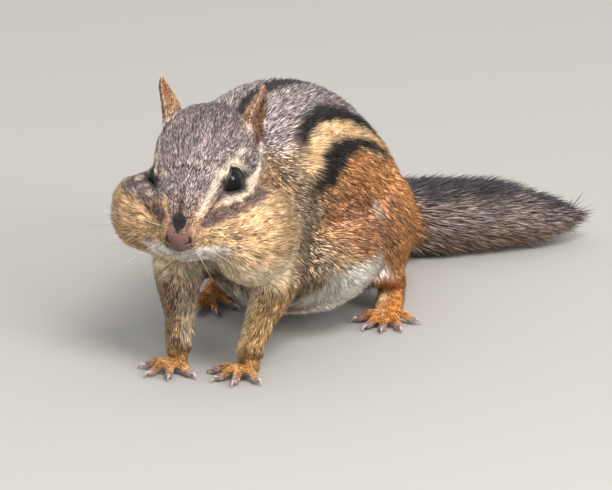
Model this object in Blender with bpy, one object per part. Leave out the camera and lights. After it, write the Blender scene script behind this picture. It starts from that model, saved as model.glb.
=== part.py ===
"""A chipmunk with full cheek pouches, crouched on all fours, at life size.

Metres, +Z up. The animal faces -Y and its left side is at +X. The floor is z = 0, and the
origin is on the floor under the middle of the animal's box. The body is shaped in
millimetres as one form, out to the tips of the coat, and is then parted with thin cuts
into the pieces that a person would name. The feet, ears, eyes, nose and claws are made
on their own and fitted to it.
"""
import math

import bmesh
import bpy
import numpy as np
from mathutils import Euler, Matrix, Vector

MM = 0.001
GAP = 0.3                       # clear space between neighbouring pieces, mm

# Trunk, tail and neck: x, y, z of the middle, half width, half height
TRUNK = [
    (0.5, 15.0, 42.0, 12.5, 14.0),      # base of the neck
    (0.5, 25.0, 37.3, 18.0, 19.3),      # shoulders
    (2.5, 38.0, 34.3, 21.0, 24.0),      # ribs
    (6.0, 51.0, 32.4, 21.0, 24.6),      # loin, the top of the arched back
    (9.5, 64.5, 26.8, 20.2, 21.4),      # hips
    (11.5, 76.0, 22.2, 16.5, 16.6),     # rump
    (13.0, 85.0, 17.0, 10.0, 11.0),     # root of the tail
]
TAIL = [
    (13.0, 83.0, 16.0, 9.5, 9.0),
    (18.0, 94.0, 11.8, 9.0, 9.4),
    (27.0, 104.0, 9.6, 9.0, 9.9),
    (37.5, 111.5, 8.8, 8.8, 9.0),
    (46.5, 117.5, 7.1, 7.4, 7.5),
    (53.5, 121.5, 6.6, 5.0, 4.8),
    (57.5, 124.0, 6.6, 2.6, 2.8),
]
NECK = [
    (0.8, 9.0, 47.0, 13.0, 13.5),
    (0.8, 17.0, 43.0, 13.5, 14.0),
    (0.8, 26.0, 38.0, 15.5, 16.5),
]
BELLY_CENTRE, BELLY_RADII = (10.5, 44.5, 18.8), (21.5, 22.5, 15.0)

# Head, in its own upright frame before it is turned
HEAD_TURN = math.radians(1.0)
HEAD_PIVOT = Vector((0.0, 12.0, 45.0))
HEAD_SHIFT = Vector((0.8, 0.0, -0.2))
SKULL_CENTRE, SKULL_RADII = (0.0, 8.5, 48.8), (12.8, 16.0, 14.9)
MUZZLE = [
    (0.0, 4.0, 46.5, 11.5, 12.0),
    (0.0, -3.0, 43.8, 8.6, 9.6),
    (0.0, -8.5, 40.4, 6.8, 7.0),
    (0.0, -12.6, 37.8, 4.8, 4.6),
]
JAW = [
    (0.0, 4.0, 36.5, 9.0, 8.0),
    (0.0, -5.0, 34.6, 6.4, 4.8),
    (0.0, -10.5, 33.7, 3.2, 2.6),
]
CHEEK_ROOT = [                          # from the corner of the mouth into the left pouch
    (3.0, -9.0, 36.6, 3.6, 4.0),
    (6.0, -5.5, 37.0, 6.0, 6.8),
    (9.0, 0.0, 38.0, 8.0, 9.5),
]
POUCH_CENTRE = {1: (12.9, 3.5, 34.9), -1: (-12.0, 1.5, 39.2)}
POUCH_RADII = {1: (10.4, 12.5, 11.8), -1: (8.6, 11.5, 9.6)}
POUCH_TILT = math.radians(12.0)

EYE_RADIUS = 3.5
EYE_CENTRE = {1: (7.3, 0.2, 48.7), -1: (-8.45, 0.2, 48.1)}
NOSE_CENTRE, NOSE_RADII = (0.0, -14.6, 38.6), (2.5, 1.7, 2.1)

EAR_BASE = (9.9, 12.5, 53.9)
EAR_LEAN = math.radians(7.0)            # outward lean from upright
EAR_OPEN = math.radians(8.0)            # how far the opening turns forward from sideways
EAR_OUTER = [                           # across, along, up, half width, half depth
    (0.0, 0.5, -4.0, 4.0, 2.8),
    (0.0, 0.5, 2.0, 4.8, 3.1),
    (0.0, 0.2, 7.5, 4.2, 2.6),
    (0.0, -0.3, 12.0, 2.6, 1.7),
    (0.0, -0.6, 14.8, 1.0, 0.9),
]
EAR_HOLLOW = [
    (0.0, -1.1, 1.5, 3.7, 3.4),
    (0.0, -1.2, 7.0, 3.4, 2.9),
    (0.0, -1.3, 11.0, 1.9, 1.7),
]

# Legs: x, y, z of the joints for the left and the right side, then the leg's half widths
SHOULDER = {1: (12.0, 23.0, 31.0), -1: (-8.5, 23.0, 31.0)}
ELBOW = {1: (14.0, 19.5, 19.5), -1: (-9.3, 18.5, 20.0)}
WRIST = {1: (12.2, 5.2, 6.8), -1: (-5.2, 4.8, 6.8)}
SHOULDER_SIZE, ELBOW_SIZE = (9.0, 8.5), (6.4, 7.0)
FOREARM_SIZE, WRIST_SIZE = (3.9, 4.6), (3.4, 3.2)
HIPS_X = 9.0
THIGH_CENTRE, THIGH_RADII = (14.4, 62.5, 20.0), (10.8, 15.5, 15.5)  # x from the hips' plane
THIGH_SWING = (math.radians(-18), 0.0, math.radians(-6))
ANKLE = {1: (29.8, 61.0, 7.0), -1: (-11.8, 61.0, 7.0)}
SHANK_TOP = (-4.5, -3.0, 10.5)          # from the ankle, x away from the body
KNEE_SIZE, SHANK_SIZE, ANKLE_SIZE = (7.0, 9.5), (4.6, 6.4), (3.5, 4.2)
WRIST_CUT = 6.4                         # height of the cut above each forefoot
ANKLE_CUT = 7.0
SHANK_CUT = 10.5                        # height where the shank meets the thigh
BULGE_MARGIN = 1.6                      # between a thigh's or a pouch's own form and its cut

# Feet: a sole that runs forward from under the wrist or the ankle, then a fan of toes
FOREFOOT = {
    "sole": [(0.0, 0.4, 5.6, 3.0, 2.8), (0.0, -1.2, 2.2, 3.4, 2.5), (0.0, -3.0, 1.1, 3.2, 2.0)],
    "palm": (0.0, -2.8),
    "palm_radius": 2.4,
    "toes": [(-72, 8.6), (-27, 8.0), (14, 8.0), (64, 7.6)],
    "heading": -16.0,
}
HINDFOOT = {
    "sole": [(0.0, 0.8, 6.2, 3.4, 4.0), (0.0, 0.0, 3.2, 3.4, 3.6),
             (0.6, -6.0, 2.2, 3.8, 2.2), (1.2, -9.5, 1.7, 4.2, 1.9)],
    "palm": (1.4, -9.4),
    "palm_radius": 2.9,
    "toes": [(-66, 8.8), (-22, 9.8), (4, 10.0), (30, 9.4), (80, 8.0)],
    "heading": 4.0,
}
TOE_RADIUS = 1.25
TOE_ROOT_HEIGHT, TOE_KNUCKLE_HEIGHT, TOE_TIP_HEIGHT = 1.5, 2.0, 0.75
CLAW_LENGTH = 1.6
CLAW_RADIUS = 0.42
CLAW_TIP_RADIUS = 0.16

BODY_VOXEL, BODY_SMOOTHING, BODY_TRIANGLES = 0.9, 8, 1740
FOOT_VOXEL, FOOT_SMOOTHING, FOOT_TRIANGLES = 0.42, 3, 250
SIDES = {"left": 1, "right": -1}

COLOURS = {                             # linear red, green, blue and roughness
    "agouti": ((0.17, 0.12, 0.08), 0.9),
    "ochre": ((0.42, 0.22, 0.08), 0.9),
    "rust": ((0.40, 0.16, 0.04), 0.9),
    "cream": ((0.62, 0.50, 0.34), 0.9),
    "grey": ((0.13, 0.11, 0.10), 0.9),
    "skin": ((0.30, 0.17, 0.13), 0.6),
    "eye": ((0.01, 0.01, 0.012), 0.08),
    "claw": ((0.12, 0.09, 0.08), 0.4),
}


# Shapes

def smooth_stations(stations, steps):
    """Stations on a smooth curve through the given ones."""
    rows = np.array(stations, dtype=float)
    padded = np.vstack([2 * rows[0] - rows[1], rows, 2 * rows[-1] - rows[-2]])
    result = []
    for before, start, end, after in zip(padded, padded[1:], padded[2:], padded[3:]):
        for step in range(steps):
            t = step / steps
            bend = 2 * before - 5 * start + 4 * end - after
            twist = 3 * start - before - 3 * end + after
            result.append(0.5 * (2 * start + (end - before) * t + bend * t ** 2 + twist * t ** 3))
    result.append(rows[-1])
    return result


def rounded_ends(rows, dome_angles):
    """The same stations with both ends drawn in to a dome."""
    def dome(end, inner):
        outward = Vector(end[:3]) - Vector(inner[:3])
        outward.normalize()
        reach = min(end[3], end[4])
        rings = []
        for angle in dome_angles:
            centre = Vector(end[:3]) + outward * reach * math.sin(math.radians(angle)) * 0.8
            shrink = math.cos(math.radians(angle))
            rings.append((*centre, end[3] * shrink, end[4] * shrink))
        return rings
    first = dome(rows[0], rows[1])
    last = dome(rows[-1], rows[-2])
    return [*reversed(first), *rows, *last]


def tube(stations, up=(0.0, 0.0, 1.0), sides=20, steps=5, dome_angles=(30, 58, 80)):
    """A closed form with elliptical sections, round-ended, along a smooth path."""
    rows = rounded_ends(smooth_stations(stations, steps), dome_angles)
    centres = [Vector(row[:3]) for row in rows]
    shape = bmesh.new()
    rings = []
    for index, row in enumerate(rows):
        ahead = centres[min(index + 1, len(rows) - 1)]
        behind = centres[max(index - 1, 0)]
        along = (ahead - behind).normalized()
        across = along.cross(Vector(up)).normalized()
        lift = across.cross(along).normalized()
        ring = []
        for side in range(sides):
            angle = 2 * math.pi * side / sides
            offset = across * row[3] * math.cos(angle) + lift * row[4] * math.sin(angle)
            ring.append(shape.verts.new(centres[index] + offset))
        rings.append(ring)
    for ring, following in zip(rings, rings[1:]):
        for side in range(sides):
            turn = (side + 1) % sides
            shape.faces.new((ring[side], ring[turn], following[turn], following[side]))
    shape.faces.new(rings[0])
    shape.faces.new(rings[-1])
    bmesh.ops.recalc_face_normals(shape, faces=shape.faces)
    return shape


def ellipsoid(centre, radii, rotation=(0.0, 0.0, 0.0), segments=28, rings=18):
    shape = bmesh.new()
    place = Matrix.Translation(centre) @ Euler(rotation).to_matrix().to_4x4()
    bmesh.ops.create_uvsphere(shape, u_segments=segments, v_segments=rings, radius=1.0,
                              matrix=place @ Matrix.Diagonal((*radii, 1.0)))
    return shape


def block(low, high):
    """A box between two corners."""
    shape = bmesh.new()
    low, high = Vector(low), Vector(high)
    place = Matrix.Translation((low + high) / 2) @ Matrix.Diagonal((*(high - low), 1.0))
    bmesh.ops.create_cube(shape, size=1.0, matrix=place)
    return shape


def turned(shape, matrix):
    bmesh.ops.transform(shape, matrix=matrix, verts=shape.verts)
    return shape


def mirrored(shape):
    """The shape's mirror image across x = 0."""
    bmesh.ops.transform(shape, matrix=Matrix.Scale(-1, 4, (1, 0, 0)), verts=shape.verts)
    bmesh.ops.reverse_faces(shape, faces=shape.faces)
    return shape


def head_matrix():
    pivot = Matrix.Translation(HEAD_PIVOT)
    turn = pivot @ Matrix.Rotation(HEAD_TURN, 4, "Z") @ pivot.inverted()
    return Matrix.Translation(HEAD_SHIFT) @ turn


# Objects

def add_object(name, shapes):
    """One object from the given shapes, which it uses up."""
    mesh = bpy.data.meshes.new(name)
    joined = bmesh.new()
    for shape in shapes:
        piece = bpy.data.meshes.new("piece")
        shape.to_mesh(piece)
        shape.free()
        joined.from_mesh(piece)
        bpy.data.meshes.remove(piece)
    joined.to_mesh(mesh)
    joined.free()
    item = bpy.data.objects.new(name, mesh)
    bpy.context.scene.collection.objects.link(item)
    return item


def settle(item):
    """Turns the object's modifiers into its mesh."""
    bpy.context.view_layer.update()
    evaluated = item.evaluated_get(bpy.context.evaluated_depsgraph_get())
    mesh = bpy.data.meshes.new_from_object(evaluated)
    item.modifiers.clear()
    old = item.data
    item.data = mesh
    bpy.data.meshes.remove(old)


def grow_together(name, shapes, voxel, smoothing, triangles):
    """One flowing form out of overlapping shapes."""
    item = add_object(name, shapes)
    remesh = item.modifiers.new("Remesh", "REMESH")
    remesh.mode = "VOXEL"
    remesh.voxel_size = voxel
    smooth = item.modifiers.new("Smooth", "SMOOTH")
    smooth.factor = 0.5
    smooth.iterations = smoothing
    settle(item)
    item.data.calc_loop_triangles()
    ratio = triangles / len(item.data.loop_triangles)
    decimate = item.modifiers.new("Decimate", "DECIMATE")
    decimate.ratio = min(1.0, ratio)
    settle(item)
    return item


def cut(item, cutter_shape, operation):
    """Cuts the object with a closed shape, which is used up."""
    cutter = add_object("cutter", [cutter_shape])
    cutter.hide_render = True
    cutter.display_type = "WIRE"
    boolean = item.modifiers.new("Cut", "BOOLEAN")
    boolean.operation = operation
    boolean.object = cutter
    settle(item)
    bpy.data.objects.remove(cutter)


def copy_of(item, name):
    twin = bpy.data.objects.new(name, item.data.copy())
    bpy.context.scene.collection.objects.link(twin)
    return twin


def part_off(item, name, low, high):
    """Parts the box between two corners off the object, with a thin gap, as a new piece."""
    inset = Vector((GAP, GAP, GAP)) / 2
    low, high = Vector(low), Vector(high)
    piece = copy_of(item, name)
    cut(piece, block(low + inset, high - inset), "INTERSECT")
    cut(item, block(low - inset, high + inset), "DIFFERENCE")
    return piece


def part_off_shape(item, name, make_shape, side):
    """The same with a rounded shape, taken a little larger so that it holds the whole bulge."""
    piece = copy_of(item, name)
    coarse = {"segments": 12, "rings": 8}
    cut(piece, make_shape(side, BULGE_MARGIN - GAP / 2, **coarse), "INTERSECT")
    cut(item, make_shape(side, BULGE_MARGIN + GAP / 2, **coarse), "DIFFERENCE")
    return piece


def drop_slivers(item):
    """Keeps the largest closed body of the piece, without the slivers beside a cut."""
    shape = bmesh.new()
    shape.from_mesh(item.data)
    unseen = set(shape.verts)
    bodies = []
    while unseen:
        front = [unseen.pop()]
        body = list(front)
        while front:
            vert = front.pop()
            for edge in vert.link_edges:
                other = edge.other_vert(vert)
                if other in unseen:
                    unseen.discard(other)
                    front.append(other)
                    body.append(other)
        bodies.append(body)
    bodies.sort(key=len)
    slivers = [vert for body in bodies[:-1] for vert in body]
    bmesh.ops.delete(shape, geom=slivers, context="VERTS")
    shape.to_mesh(item.data)
    shape.free()


def finish(item, colour):
    """Gives the piece its material and its smooth shading."""
    rgb, roughness = COLOURS[colour]
    finish_name = f"{colour}_{item.name}"
    material = bpy.data.materials.new(finish_name)
    material.use_nodes = True
    shader = material.node_tree.nodes["Principled BSDF"]
    shader.inputs["Base Color"].default_value = (*rgb, 1.0)
    shader.inputs["Roughness"].default_value = roughness
    item.data.materials.clear()
    item.data.materials.append(material)
    item.data.shade_smooth()
    item.data.set_sharp_from_angle(angle=math.radians(50))
    return item


# The body

def pouch_shape(side, growth=0.0, **detail):
    radii = [radius + growth for radius in POUCH_RADII[side]]
    shape = ellipsoid(POUCH_CENTRE[side], radii, (-POUCH_TILT, POUCH_TILT * side, 0.0), **detail)
    return turned(shape, head_matrix())


def head_shapes():
    shapes = [ellipsoid(SKULL_CENTRE, SKULL_RADII), tube(MUZZLE), tube(JAW),
              tube(CHEEK_ROOT), mirrored(tube(CHEEK_ROOT))]
    shapes = [turned(shape, head_matrix()) for shape in shapes]
    return shapes + [pouch_shape(1), pouch_shape(-1)]


def foreleg_shape(side):
    wrist, elbow = Vector(WRIST[side]), Vector(ELBOW[side])
    forearm = elbow.lerp(wrist, 0.55)
    below = wrist - Vector((0.0, 0.6, 4.0))
    stations = [(*SHOULDER[side], *SHOULDER_SIZE), (*elbow, *ELBOW_SIZE),
                (*forearm, *FOREARM_SIZE), (*wrist, *WRIST_SIZE), (*below, *WRIST_SIZE)]
    return tube(stations, up=(0.0, -1.0, 0.0))


def shank_shape(side):
    ankle = Vector(ANKLE[side])
    knee = ankle + Vector((SHANK_TOP[0] * side, SHANK_TOP[1], SHANK_TOP[2]))
    below = ankle - Vector((0.0, 0.0, 4.0))
    stations = [(*knee, *KNEE_SIZE), (*knee.lerp(ankle, 0.55), *SHANK_SIZE),
                (*ankle, *ANKLE_SIZE), (*below, *ANKLE_SIZE)]
    return tube(stations, up=(0.0, -1.0, 0.0))


def thigh_shape(side, growth=0.0, **detail):
    radii = [radius + growth for radius in THIGH_RADII]
    thigh = ellipsoid(THIGH_CENTRE, radii, THIGH_SWING, **detail)
    if side < 0:
        mirrored(thigh)
    return turned(thigh, Matrix.Translation((HIPS_X, 0, 0)))


def make_body():
    shapes = head_shapes() + [tube(TRUNK, sides=28), tube(NECK), tube(TAIL)]
    shapes.append(ellipsoid(BELLY_CENTRE, BELLY_RADII))
    for side in SIDES.values():
        shapes += [foreleg_shape(side), thigh_shape(side), shank_shape(side)]
    return grow_together("body", shapes, BODY_VOXEL, BODY_SMOOTHING, BODY_TRIANGLES)


# Feet and claws

def claw(base, outward):
    """A curved, tapering claw that points outward and down to the floor."""
    middle = base + outward * CLAW_LENGTH * 0.5
    tip = base + outward * CLAW_LENGTH
    stations = [
        (*base, CLAW_RADIUS, CLAW_RADIUS * 1.25),
        (middle.x, middle.y, base.z - 0.1, CLAW_RADIUS * 0.85, CLAW_RADIUS),
        (tip.x, tip.y, CLAW_TIP_RADIUS + 0.2, CLAW_TIP_RADIUS, CLAW_TIP_RADIUS),
    ]
    return tube(stations, sides=5, steps=1, dome_angles=(60,))


def toe_and_claw(foot, angle, reach):
    """One toe, arched at its knuckle, whose claw tip is the given reach from the palm."""
    outward = Matrix.Rotation(math.radians(angle), 3, "Z") @ Vector((0.0, -1.0, 0.0))
    palm = Vector((*foot["palm"], 0.0))
    root = palm + outward * foot["palm_radius"] + Vector((0.0, 0.0, TOE_ROOT_HEIGHT))
    tip = palm + outward * (reach - CLAW_LENGTH - TOE_RADIUS * 0.6)
    tip.z = TOE_TIP_HEIGHT
    knuckle = root.lerp(tip, 0.5)
    knuckle.z = TOE_KNUCKLE_HEIGHT
    stations = [(*root, TOE_RADIUS, TOE_RADIUS), (*knuckle, TOE_RADIUS, TOE_RADIUS * 1.1),
                (*tip, TOE_RADIUS * 0.85, TOE_RADIUS * 0.85)]
    claw_base = tip + outward * (TOE_RADIUS * 0.45 + GAP + CLAW_RADIUS) + Vector((0.0, 0.0, 0.45))
    return tube(stations, sides=12, steps=3), claw(claw_base, outward)


def make_foot(name, foot, joint, side, cut_height, colour):
    """A foot with its toes, flat underneath, and a claw before each toe."""
    heading = Matrix.Rotation(math.radians(foot["heading"]), 4, "Z")
    place = Matrix.Translation((joint[0], joint[1], 0.0)) @ heading
    shapes = [tube(foot["sole"], up=(0.0, -0.6, 0.8))]
    claws = []
    for angle, reach in foot["toes"]:
        toe, claw_shape = toe_and_claw(foot, angle, reach)
        shapes.append(toe)
        claws.append(claw_shape)
    for shape in shapes + claws:
        if side < 0:
            mirrored(shape)
        turned(shape, place)
    item = grow_together(name, shapes, FOOT_VOXEL, FOOT_SMOOTHING, FOOT_TRIANGLES)
    cut(item, block((-100, -100, 0), (100, 200, cut_height - GAP / 2)), "INTERSECT")
    pieces = [finish(item, colour)]
    for index, shape in enumerate(claws, start=1):
        pieces.append(finish(add_object(f"{name}_claw_{index}", [shape]), "claw"))
    return pieces


# Ears, eyes and nose

def ear_matrix(side):
    """From the ear's own frame, x across its opening and -y out of it, to its place."""
    turn = Matrix.Rotation(side * (math.pi / 2 - EAR_OPEN), 4, "Z")
    lean = Matrix.Rotation(side * EAR_LEAN, 4, "Y")
    base = Vector((EAR_BASE[0] * side, EAR_BASE[1], EAR_BASE[2]))
    return head_matrix() @ Matrix.Translation(base) @ lean @ turn


def ear_shape(side, growth=0.0):
    stations = [(x, y, z, wide + growth, deep + growth) for x, y, z, wide, deep in EAR_OUTER]
    ear = tube(stations, up=(0.0, -1.0, 0.0), sides=10, steps=2, dome_angles=(65,))
    return turned(ear, ear_matrix(side))


def make_ear(name, side):
    """A cupped ear whose root sits in the head."""
    hollow = tube(EAR_HOLLOW, up=(0.0, -1.0, 0.0), sides=10, steps=2, dome_angles=(65,))
    ear = add_object(name, [ear_shape(side)])
    cut(ear, turned(hollow, ear_matrix(side)), "DIFFERENCE")
    return ear


def eye_shape(side, growth=0.0):
    radius = EYE_RADIUS + growth
    ball = ellipsoid(EYE_CENTRE[side], (radius,) * 3, segments=12, rings=8)
    return turned(ball, head_matrix())


def nose_shape(growth=0.0):
    radii = [radius + growth for radius in NOSE_RADII]
    return turned(ellipsoid(NOSE_CENTRE, radii, segments=12, rings=8), head_matrix())


# The whole animal

def limb_box(centre, side, inner, outer, front, back, low, high):
    """The corners of a box beside a limb: distances from its joint, inner towards the body."""
    near, away = centre[0] - inner * side, centre[0] + outer * side
    return ((min(near, away), centre[1] - front, low), (max(near, away), centre[1] + back, high))


def part_body(body):
    """Parts the body into named pieces and returns them with their colours."""
    far = 200.0
    pieces = []
    cut(body, block((-far, -far, 0.0), (far, far, far)), "INTERSECT")
    pieces.append((part_off(body, "tail_tip", (44.0, 90.0, -1), (far, far, far)), "grey"))
    pieces.append((part_off(body, "tail_middle", (28.0, 90.0, -1), (far, far, far)), "grey"))
    pieces.append((part_off(body, "tail_base", (-far, 92.0, -1), (far, far, far)), "grey"))
    for name, side in SIDES.items():
        wrist, ankle = WRIST[side], ANKLE[side]
        # the feet are made on their own, so the stubs below the cuts go
        cut(body, block(*limb_box(wrist, side, 6, 9, 9, 9, -1, WRIST_CUT + GAP / 2)), "DIFFERENCE")
        cut(body, block(*limb_box(ankle, side, 8, 12, 9, 16, -1, ANKLE_CUT + GAP / 2)), "DIFFERENCE")
        low, high = limb_box(ankle, side, 6.5, far, 7, 10, ANKLE_CUT - 1, SHANK_CUT)
        pieces.append((part_off(body, f"shank_{name}", low, high), "rust"))
        low, high = limb_box(wrist, side, 5.5, far, 9, 25, WRIST_CUT - 1, 20.0)
        pieces.append((part_off(body, f"foreleg_{name}", low, high), "ochre"))
        thigh = part_off_shape(body, f"thigh_{name}", thigh_shape, side)
        pieces.append((thigh, "rust"))
        pieces.append((part_off_shape(body, f"cheek_{name}", pouch_shape, side), "ochre"))
    pieces.append((part_off(body, "rump", (-far, 66.0, -1), (far, far, far)), "rust"))
    pieces.append((part_off(body, "loin", (-far, 44.0, -1), (far, far, far)), "cream"))
    pieces.append((part_off(body, "chest", (-far, 27.0, -1), (far, far, far)), "agouti"))
    pieces.append((part_off(body, "neck", (-far, 16.0, -1), (far, far, far)), "agouti"))
    body.name = "head"
    pieces.append((body, "agouti"))
    return pieces


def centre_on_origin(items):
    """Moves the pieces together so that their box stands centred on the origin, in metres."""
    corners = np.array([item.matrix_world @ Vector(corner)
                        for item in items for corner in item.bound_box])
    middle = (corners.min(axis=0) + corners.max(axis=0)) / 2
    place = Matrix.Scale(MM, 4) @ Matrix.Translation((-middle[0], -middle[1], 0.0))
    for item in items:
        item.data.transform(place)


def main():
    for item in list(bpy.data.objects):
        bpy.data.objects.remove(item)
    body = make_body()
    pieces = []
    for name, side in SIDES.items():
        cut(body, ear_shape(side, GAP), "DIFFERENCE")
        pieces.append(finish(make_ear(f"ear_{name}", side), "skin"))
        cut(body, eye_shape(side, GAP), "DIFFERENCE")
        pieces.append(finish(add_object(f"eye_{name}", [eye_shape(side)]), "eye"))
    cut(body, nose_shape(GAP), "DIFFERENCE")
    pieces.append(finish(add_object("nose", [nose_shape()]), "skin"))
    for item, colour in part_body(body):
        drop_slivers(item)
        pieces.append(finish(item, colour))
    for name, side in SIDES.items():
        pieces += make_foot(f"forefoot_{name}", FOREFOOT, WRIST[side], side, WRIST_CUT, "ochre")
        pieces += make_foot(f"hindfoot_{name}", HINDFOOT, ANKLE[side], side, ANKLE_CUT, "rust")
    centre_on_origin(pieces)


main()
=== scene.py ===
import math
from functools import partial

import bmesh
import bpy
import numpy as np
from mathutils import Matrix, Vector
from mathutils.bvhtree import BVHTree


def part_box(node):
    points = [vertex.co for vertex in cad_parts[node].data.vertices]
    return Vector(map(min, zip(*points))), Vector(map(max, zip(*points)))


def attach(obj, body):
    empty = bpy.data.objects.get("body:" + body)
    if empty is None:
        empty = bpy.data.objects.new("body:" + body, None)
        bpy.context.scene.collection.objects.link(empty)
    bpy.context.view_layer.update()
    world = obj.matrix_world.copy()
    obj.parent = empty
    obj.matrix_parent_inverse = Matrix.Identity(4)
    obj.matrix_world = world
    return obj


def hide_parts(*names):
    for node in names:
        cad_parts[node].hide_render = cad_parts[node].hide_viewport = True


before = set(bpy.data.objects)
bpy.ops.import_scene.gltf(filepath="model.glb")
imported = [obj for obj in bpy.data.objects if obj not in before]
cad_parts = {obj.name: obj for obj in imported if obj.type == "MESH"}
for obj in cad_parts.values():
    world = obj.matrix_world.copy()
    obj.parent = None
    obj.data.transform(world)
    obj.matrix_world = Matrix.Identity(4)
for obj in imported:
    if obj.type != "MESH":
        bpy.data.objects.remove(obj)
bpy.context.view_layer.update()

# A chipmunk with full cheek pouches. Places on the animal are in millimetres from a point
# on the floor between its elbows: it faces -Y and its left side is at +X.
mm = 0.001
bodyOrigin = np.array((19.244, 54.834, 0.0))    # the frame's origin, seen from that point


def toFrame(points):
    return (np.asarray(points, dtype=float) - bodyOrigin) * mm


def toBody(points):
    return np.asarray(points, dtype=float) / mm + bodyOrigin


def linear(hexColour):
    value = hexColour.lstrip("#")
    parts = np.array([int(value[i:i + 2], 16) / 255 for i in (0, 2, 4)])
    return np.where(parts <= 0.04045, parts / 12.92, ((parts + 0.055) / 1.055) ** 2.4)


def rgba(hexColour):
    return (*linear(hexColour), 1.0)


def ease(low, high, value):
    # 0 below low, 1 above high, smooth between
    t = np.clip((value - low) / (high - low), 0.0, 1.0)
    return t * t * (3 - 2 * t)


def fall(low, high, value):
    return 1 - ease(low, high, value)


def band(gap, half, feather):
    # 1 nearer than half, 0 farther, with an edge as soft as feather
    return fall(half - feather / 2, half + feather / 2, gap)


def bump(value, place):
    # a smooth hill that is 1 at its middle; place is that middle and how wide the hill is
    middle, width = place
    return np.exp(-((value - middle) / width) ** 2)


def lengthOf(vectors):
    return np.linalg.norm(vectors, axis=1)


def egg(points, centre, radii, half, feather):
    # 1 within an egg round the centre, 0 outside
    return band(lengthOf((points - centre) / radii), half, feather)


def unit(vectors):
    return vectors / np.maximum(np.linalg.norm(vectors, axis=-1, keepdims=True), 1e-9)


def flatten(vectors, normals):
    # directions laid down on the surface
    return unit(vectors - (vectors * normals).sum(1)[:, None] * normals)


def smoothLine(points, steps=10):
    # a curve through the points, in so many steps from each to the next
    rows = np.array(points, dtype=float)
    padded = np.vstack([2 * rows[0] - rows[1], rows, 2 * rows[-1] - rows[-2]])
    result = []
    for a, b, c, d in zip(padded, padded[1:], padded[2:], padded[3:]):
        for t in np.arange(steps) / steps:
            bend = (2 * a - 5 * b + 4 * c - d) * t ** 2
            twist = (3 * b - a - 3 * c + d) * t ** 3
            result.append(0.5 * (2 * b + (c - a) * t + bend + twist))
    result.append(rows[-1])
    return np.array(result)


def alongLine(points, line):
    # for each point: distance along the line, the nearest place on it, its direction, the gap
    starts, steps = line[:-1], np.diff(line, axis=0)
    lengths = lengthOf(steps)
    reached = np.concatenate([[0.0], np.cumsum(lengths)])
    best = np.full(len(points), np.inf)
    travel = np.zeros(len(points))
    place = np.zeros((len(points), 3))
    heading = np.zeros((len(points), 3))
    for start, step, length, before in zip(starts, steps, lengths, reached):
        t = np.clip((points - start) @ step / length ** 2, 0.0, 1.0)
        spot = start + t[:, None] * step
        gap = lengthOf(points - spot)
        closer = gap < best
        best[closer] = gap[closer]
        travel[closer] = before + t[closer] * length
        place[closer] = spot[closer]
        heading[closer] = step / length
    return travel, place, heading, best


def nearLine(points, line):
    return alongLine(points, smoothLine(line, 6))[3]


# nodes of flesh, and which part of the animal each belongs to
partNodes = {
    "head": ["head", "nose"],
    "cheeks": ["cheek_left", "cheek_right"],
    "ears": ["ear_left", "ear_right"],
    "neck": ["neck"],
    "chest": ["chest"],
    "loin": ["loin"],
    "rump": ["rump"],
    "thighs": ["thigh_left", "thigh_right"],
    "shanks": ["shank_left", "shank_right"],
    "forelegs": ["foreleg_left", "foreleg_right"],
    "forefeet": ["forefoot_left", "forefoot_right"],
    "hindfeet": ["hindfoot_left", "hindfoot_right"],
    "tail": ["tail_base", "tail_middle", "tail_tip"],
}
fleshNodes = [name for names in partNodes.values() for name in names]
spine = smoothLine([(0.6, 9.0, 47.0), (0.5, 15.0, 42.0), (0.5, 25.0, 37.3), (2.5, 38.0, 34.3),
                    (6.0, 51.0, 32.4), (9.5, 64.5, 26.8), (11.5, 76.0, 22.2), (13.0, 85.0, 17.0)])
tailLine = smoothLine([(12.0, 76.0, 20.0), (13.0, 83.0, 16.0), (18.0, 94.0, 11.8), (27.0, 104.0, 9.6),
                       (37.5, 111.5, 8.8), (46.5, 117.5, 7.1), (53.5, 121.5, 6.6), (57.5, 124.0, 6.6)])
foreleg = {1: [(12.0, 23.0, 31.0), (14.0, 19.5, 19.5), (12.2, 5.2, 6.8)],
           -1: [(-8.5, 23.0, 31.0), (-9.3, 18.5, 20.0), (-5.2, 4.8, 6.8)]}
noseTip = np.array((1.2, -16.2, 38.6))
middleX = 0.97              # the animal's middle, where left and right meet
sides = ((1, "left"), (-1, "right"))


def headMiddle(y):
    # the head's middle plane is turned 1 degree
    return 0.8 + 0.01745 * (12.0 - y)


def headFrame(points):
    # across from the head's middle, then y and z as they are
    across = np.abs(points[:, 0] - headMiddle(points[:, 1]))
    return np.column_stack([across, points[:, 1], points[:, 2]])


# feet: the sole's stations are x, y, z, half width and half height, from under the wrist or
# ankle; a toe is its angle from straight ahead and the reach of its claw from the palm
feet = {
    "fore": {
        "joint": {1: (12.2, 5.2), -1: (-5.2, 4.8)},
        "heading": -16.0,
        "sole": [(0.0, 0.4, 6.8, 2.9, 2.7), (0.0, -0.9, 2.6, 3.1, 2.3), (0.0, -2.6, 1.6, 2.6, 1.5)],
        "palm": (0.0, -2.8),
        "palmRadius": 1.0,
        "toes": [(-72.0, 8.6), (-27.0, 8.4), (14.0, 8.4), (64.0, 7.6)],
    },
    "hind": {
        "joint": {1: (29.8, 61.0), -1: (-11.8, 61.0)},
        "heading": 4.0,
        "sole": [(0.0, 0.8, 7.0, 3.2, 3.8), (0.0, 0.0, 3.4, 3.3, 3.3), (0.6, -6.0, 2.3, 3.2, 2.0),
                 (1.2, -9.0, 1.7, 3.0, 1.6)],
        "palm": (1.4, -9.4),
        "palmRadius": 1.3,
        "toes": [(-66.0, 8.8), (-24.0, 9.9), (3.0, 10.2), (31.0, 9.6), (80.0, 8.0)],
    },
}
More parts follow.
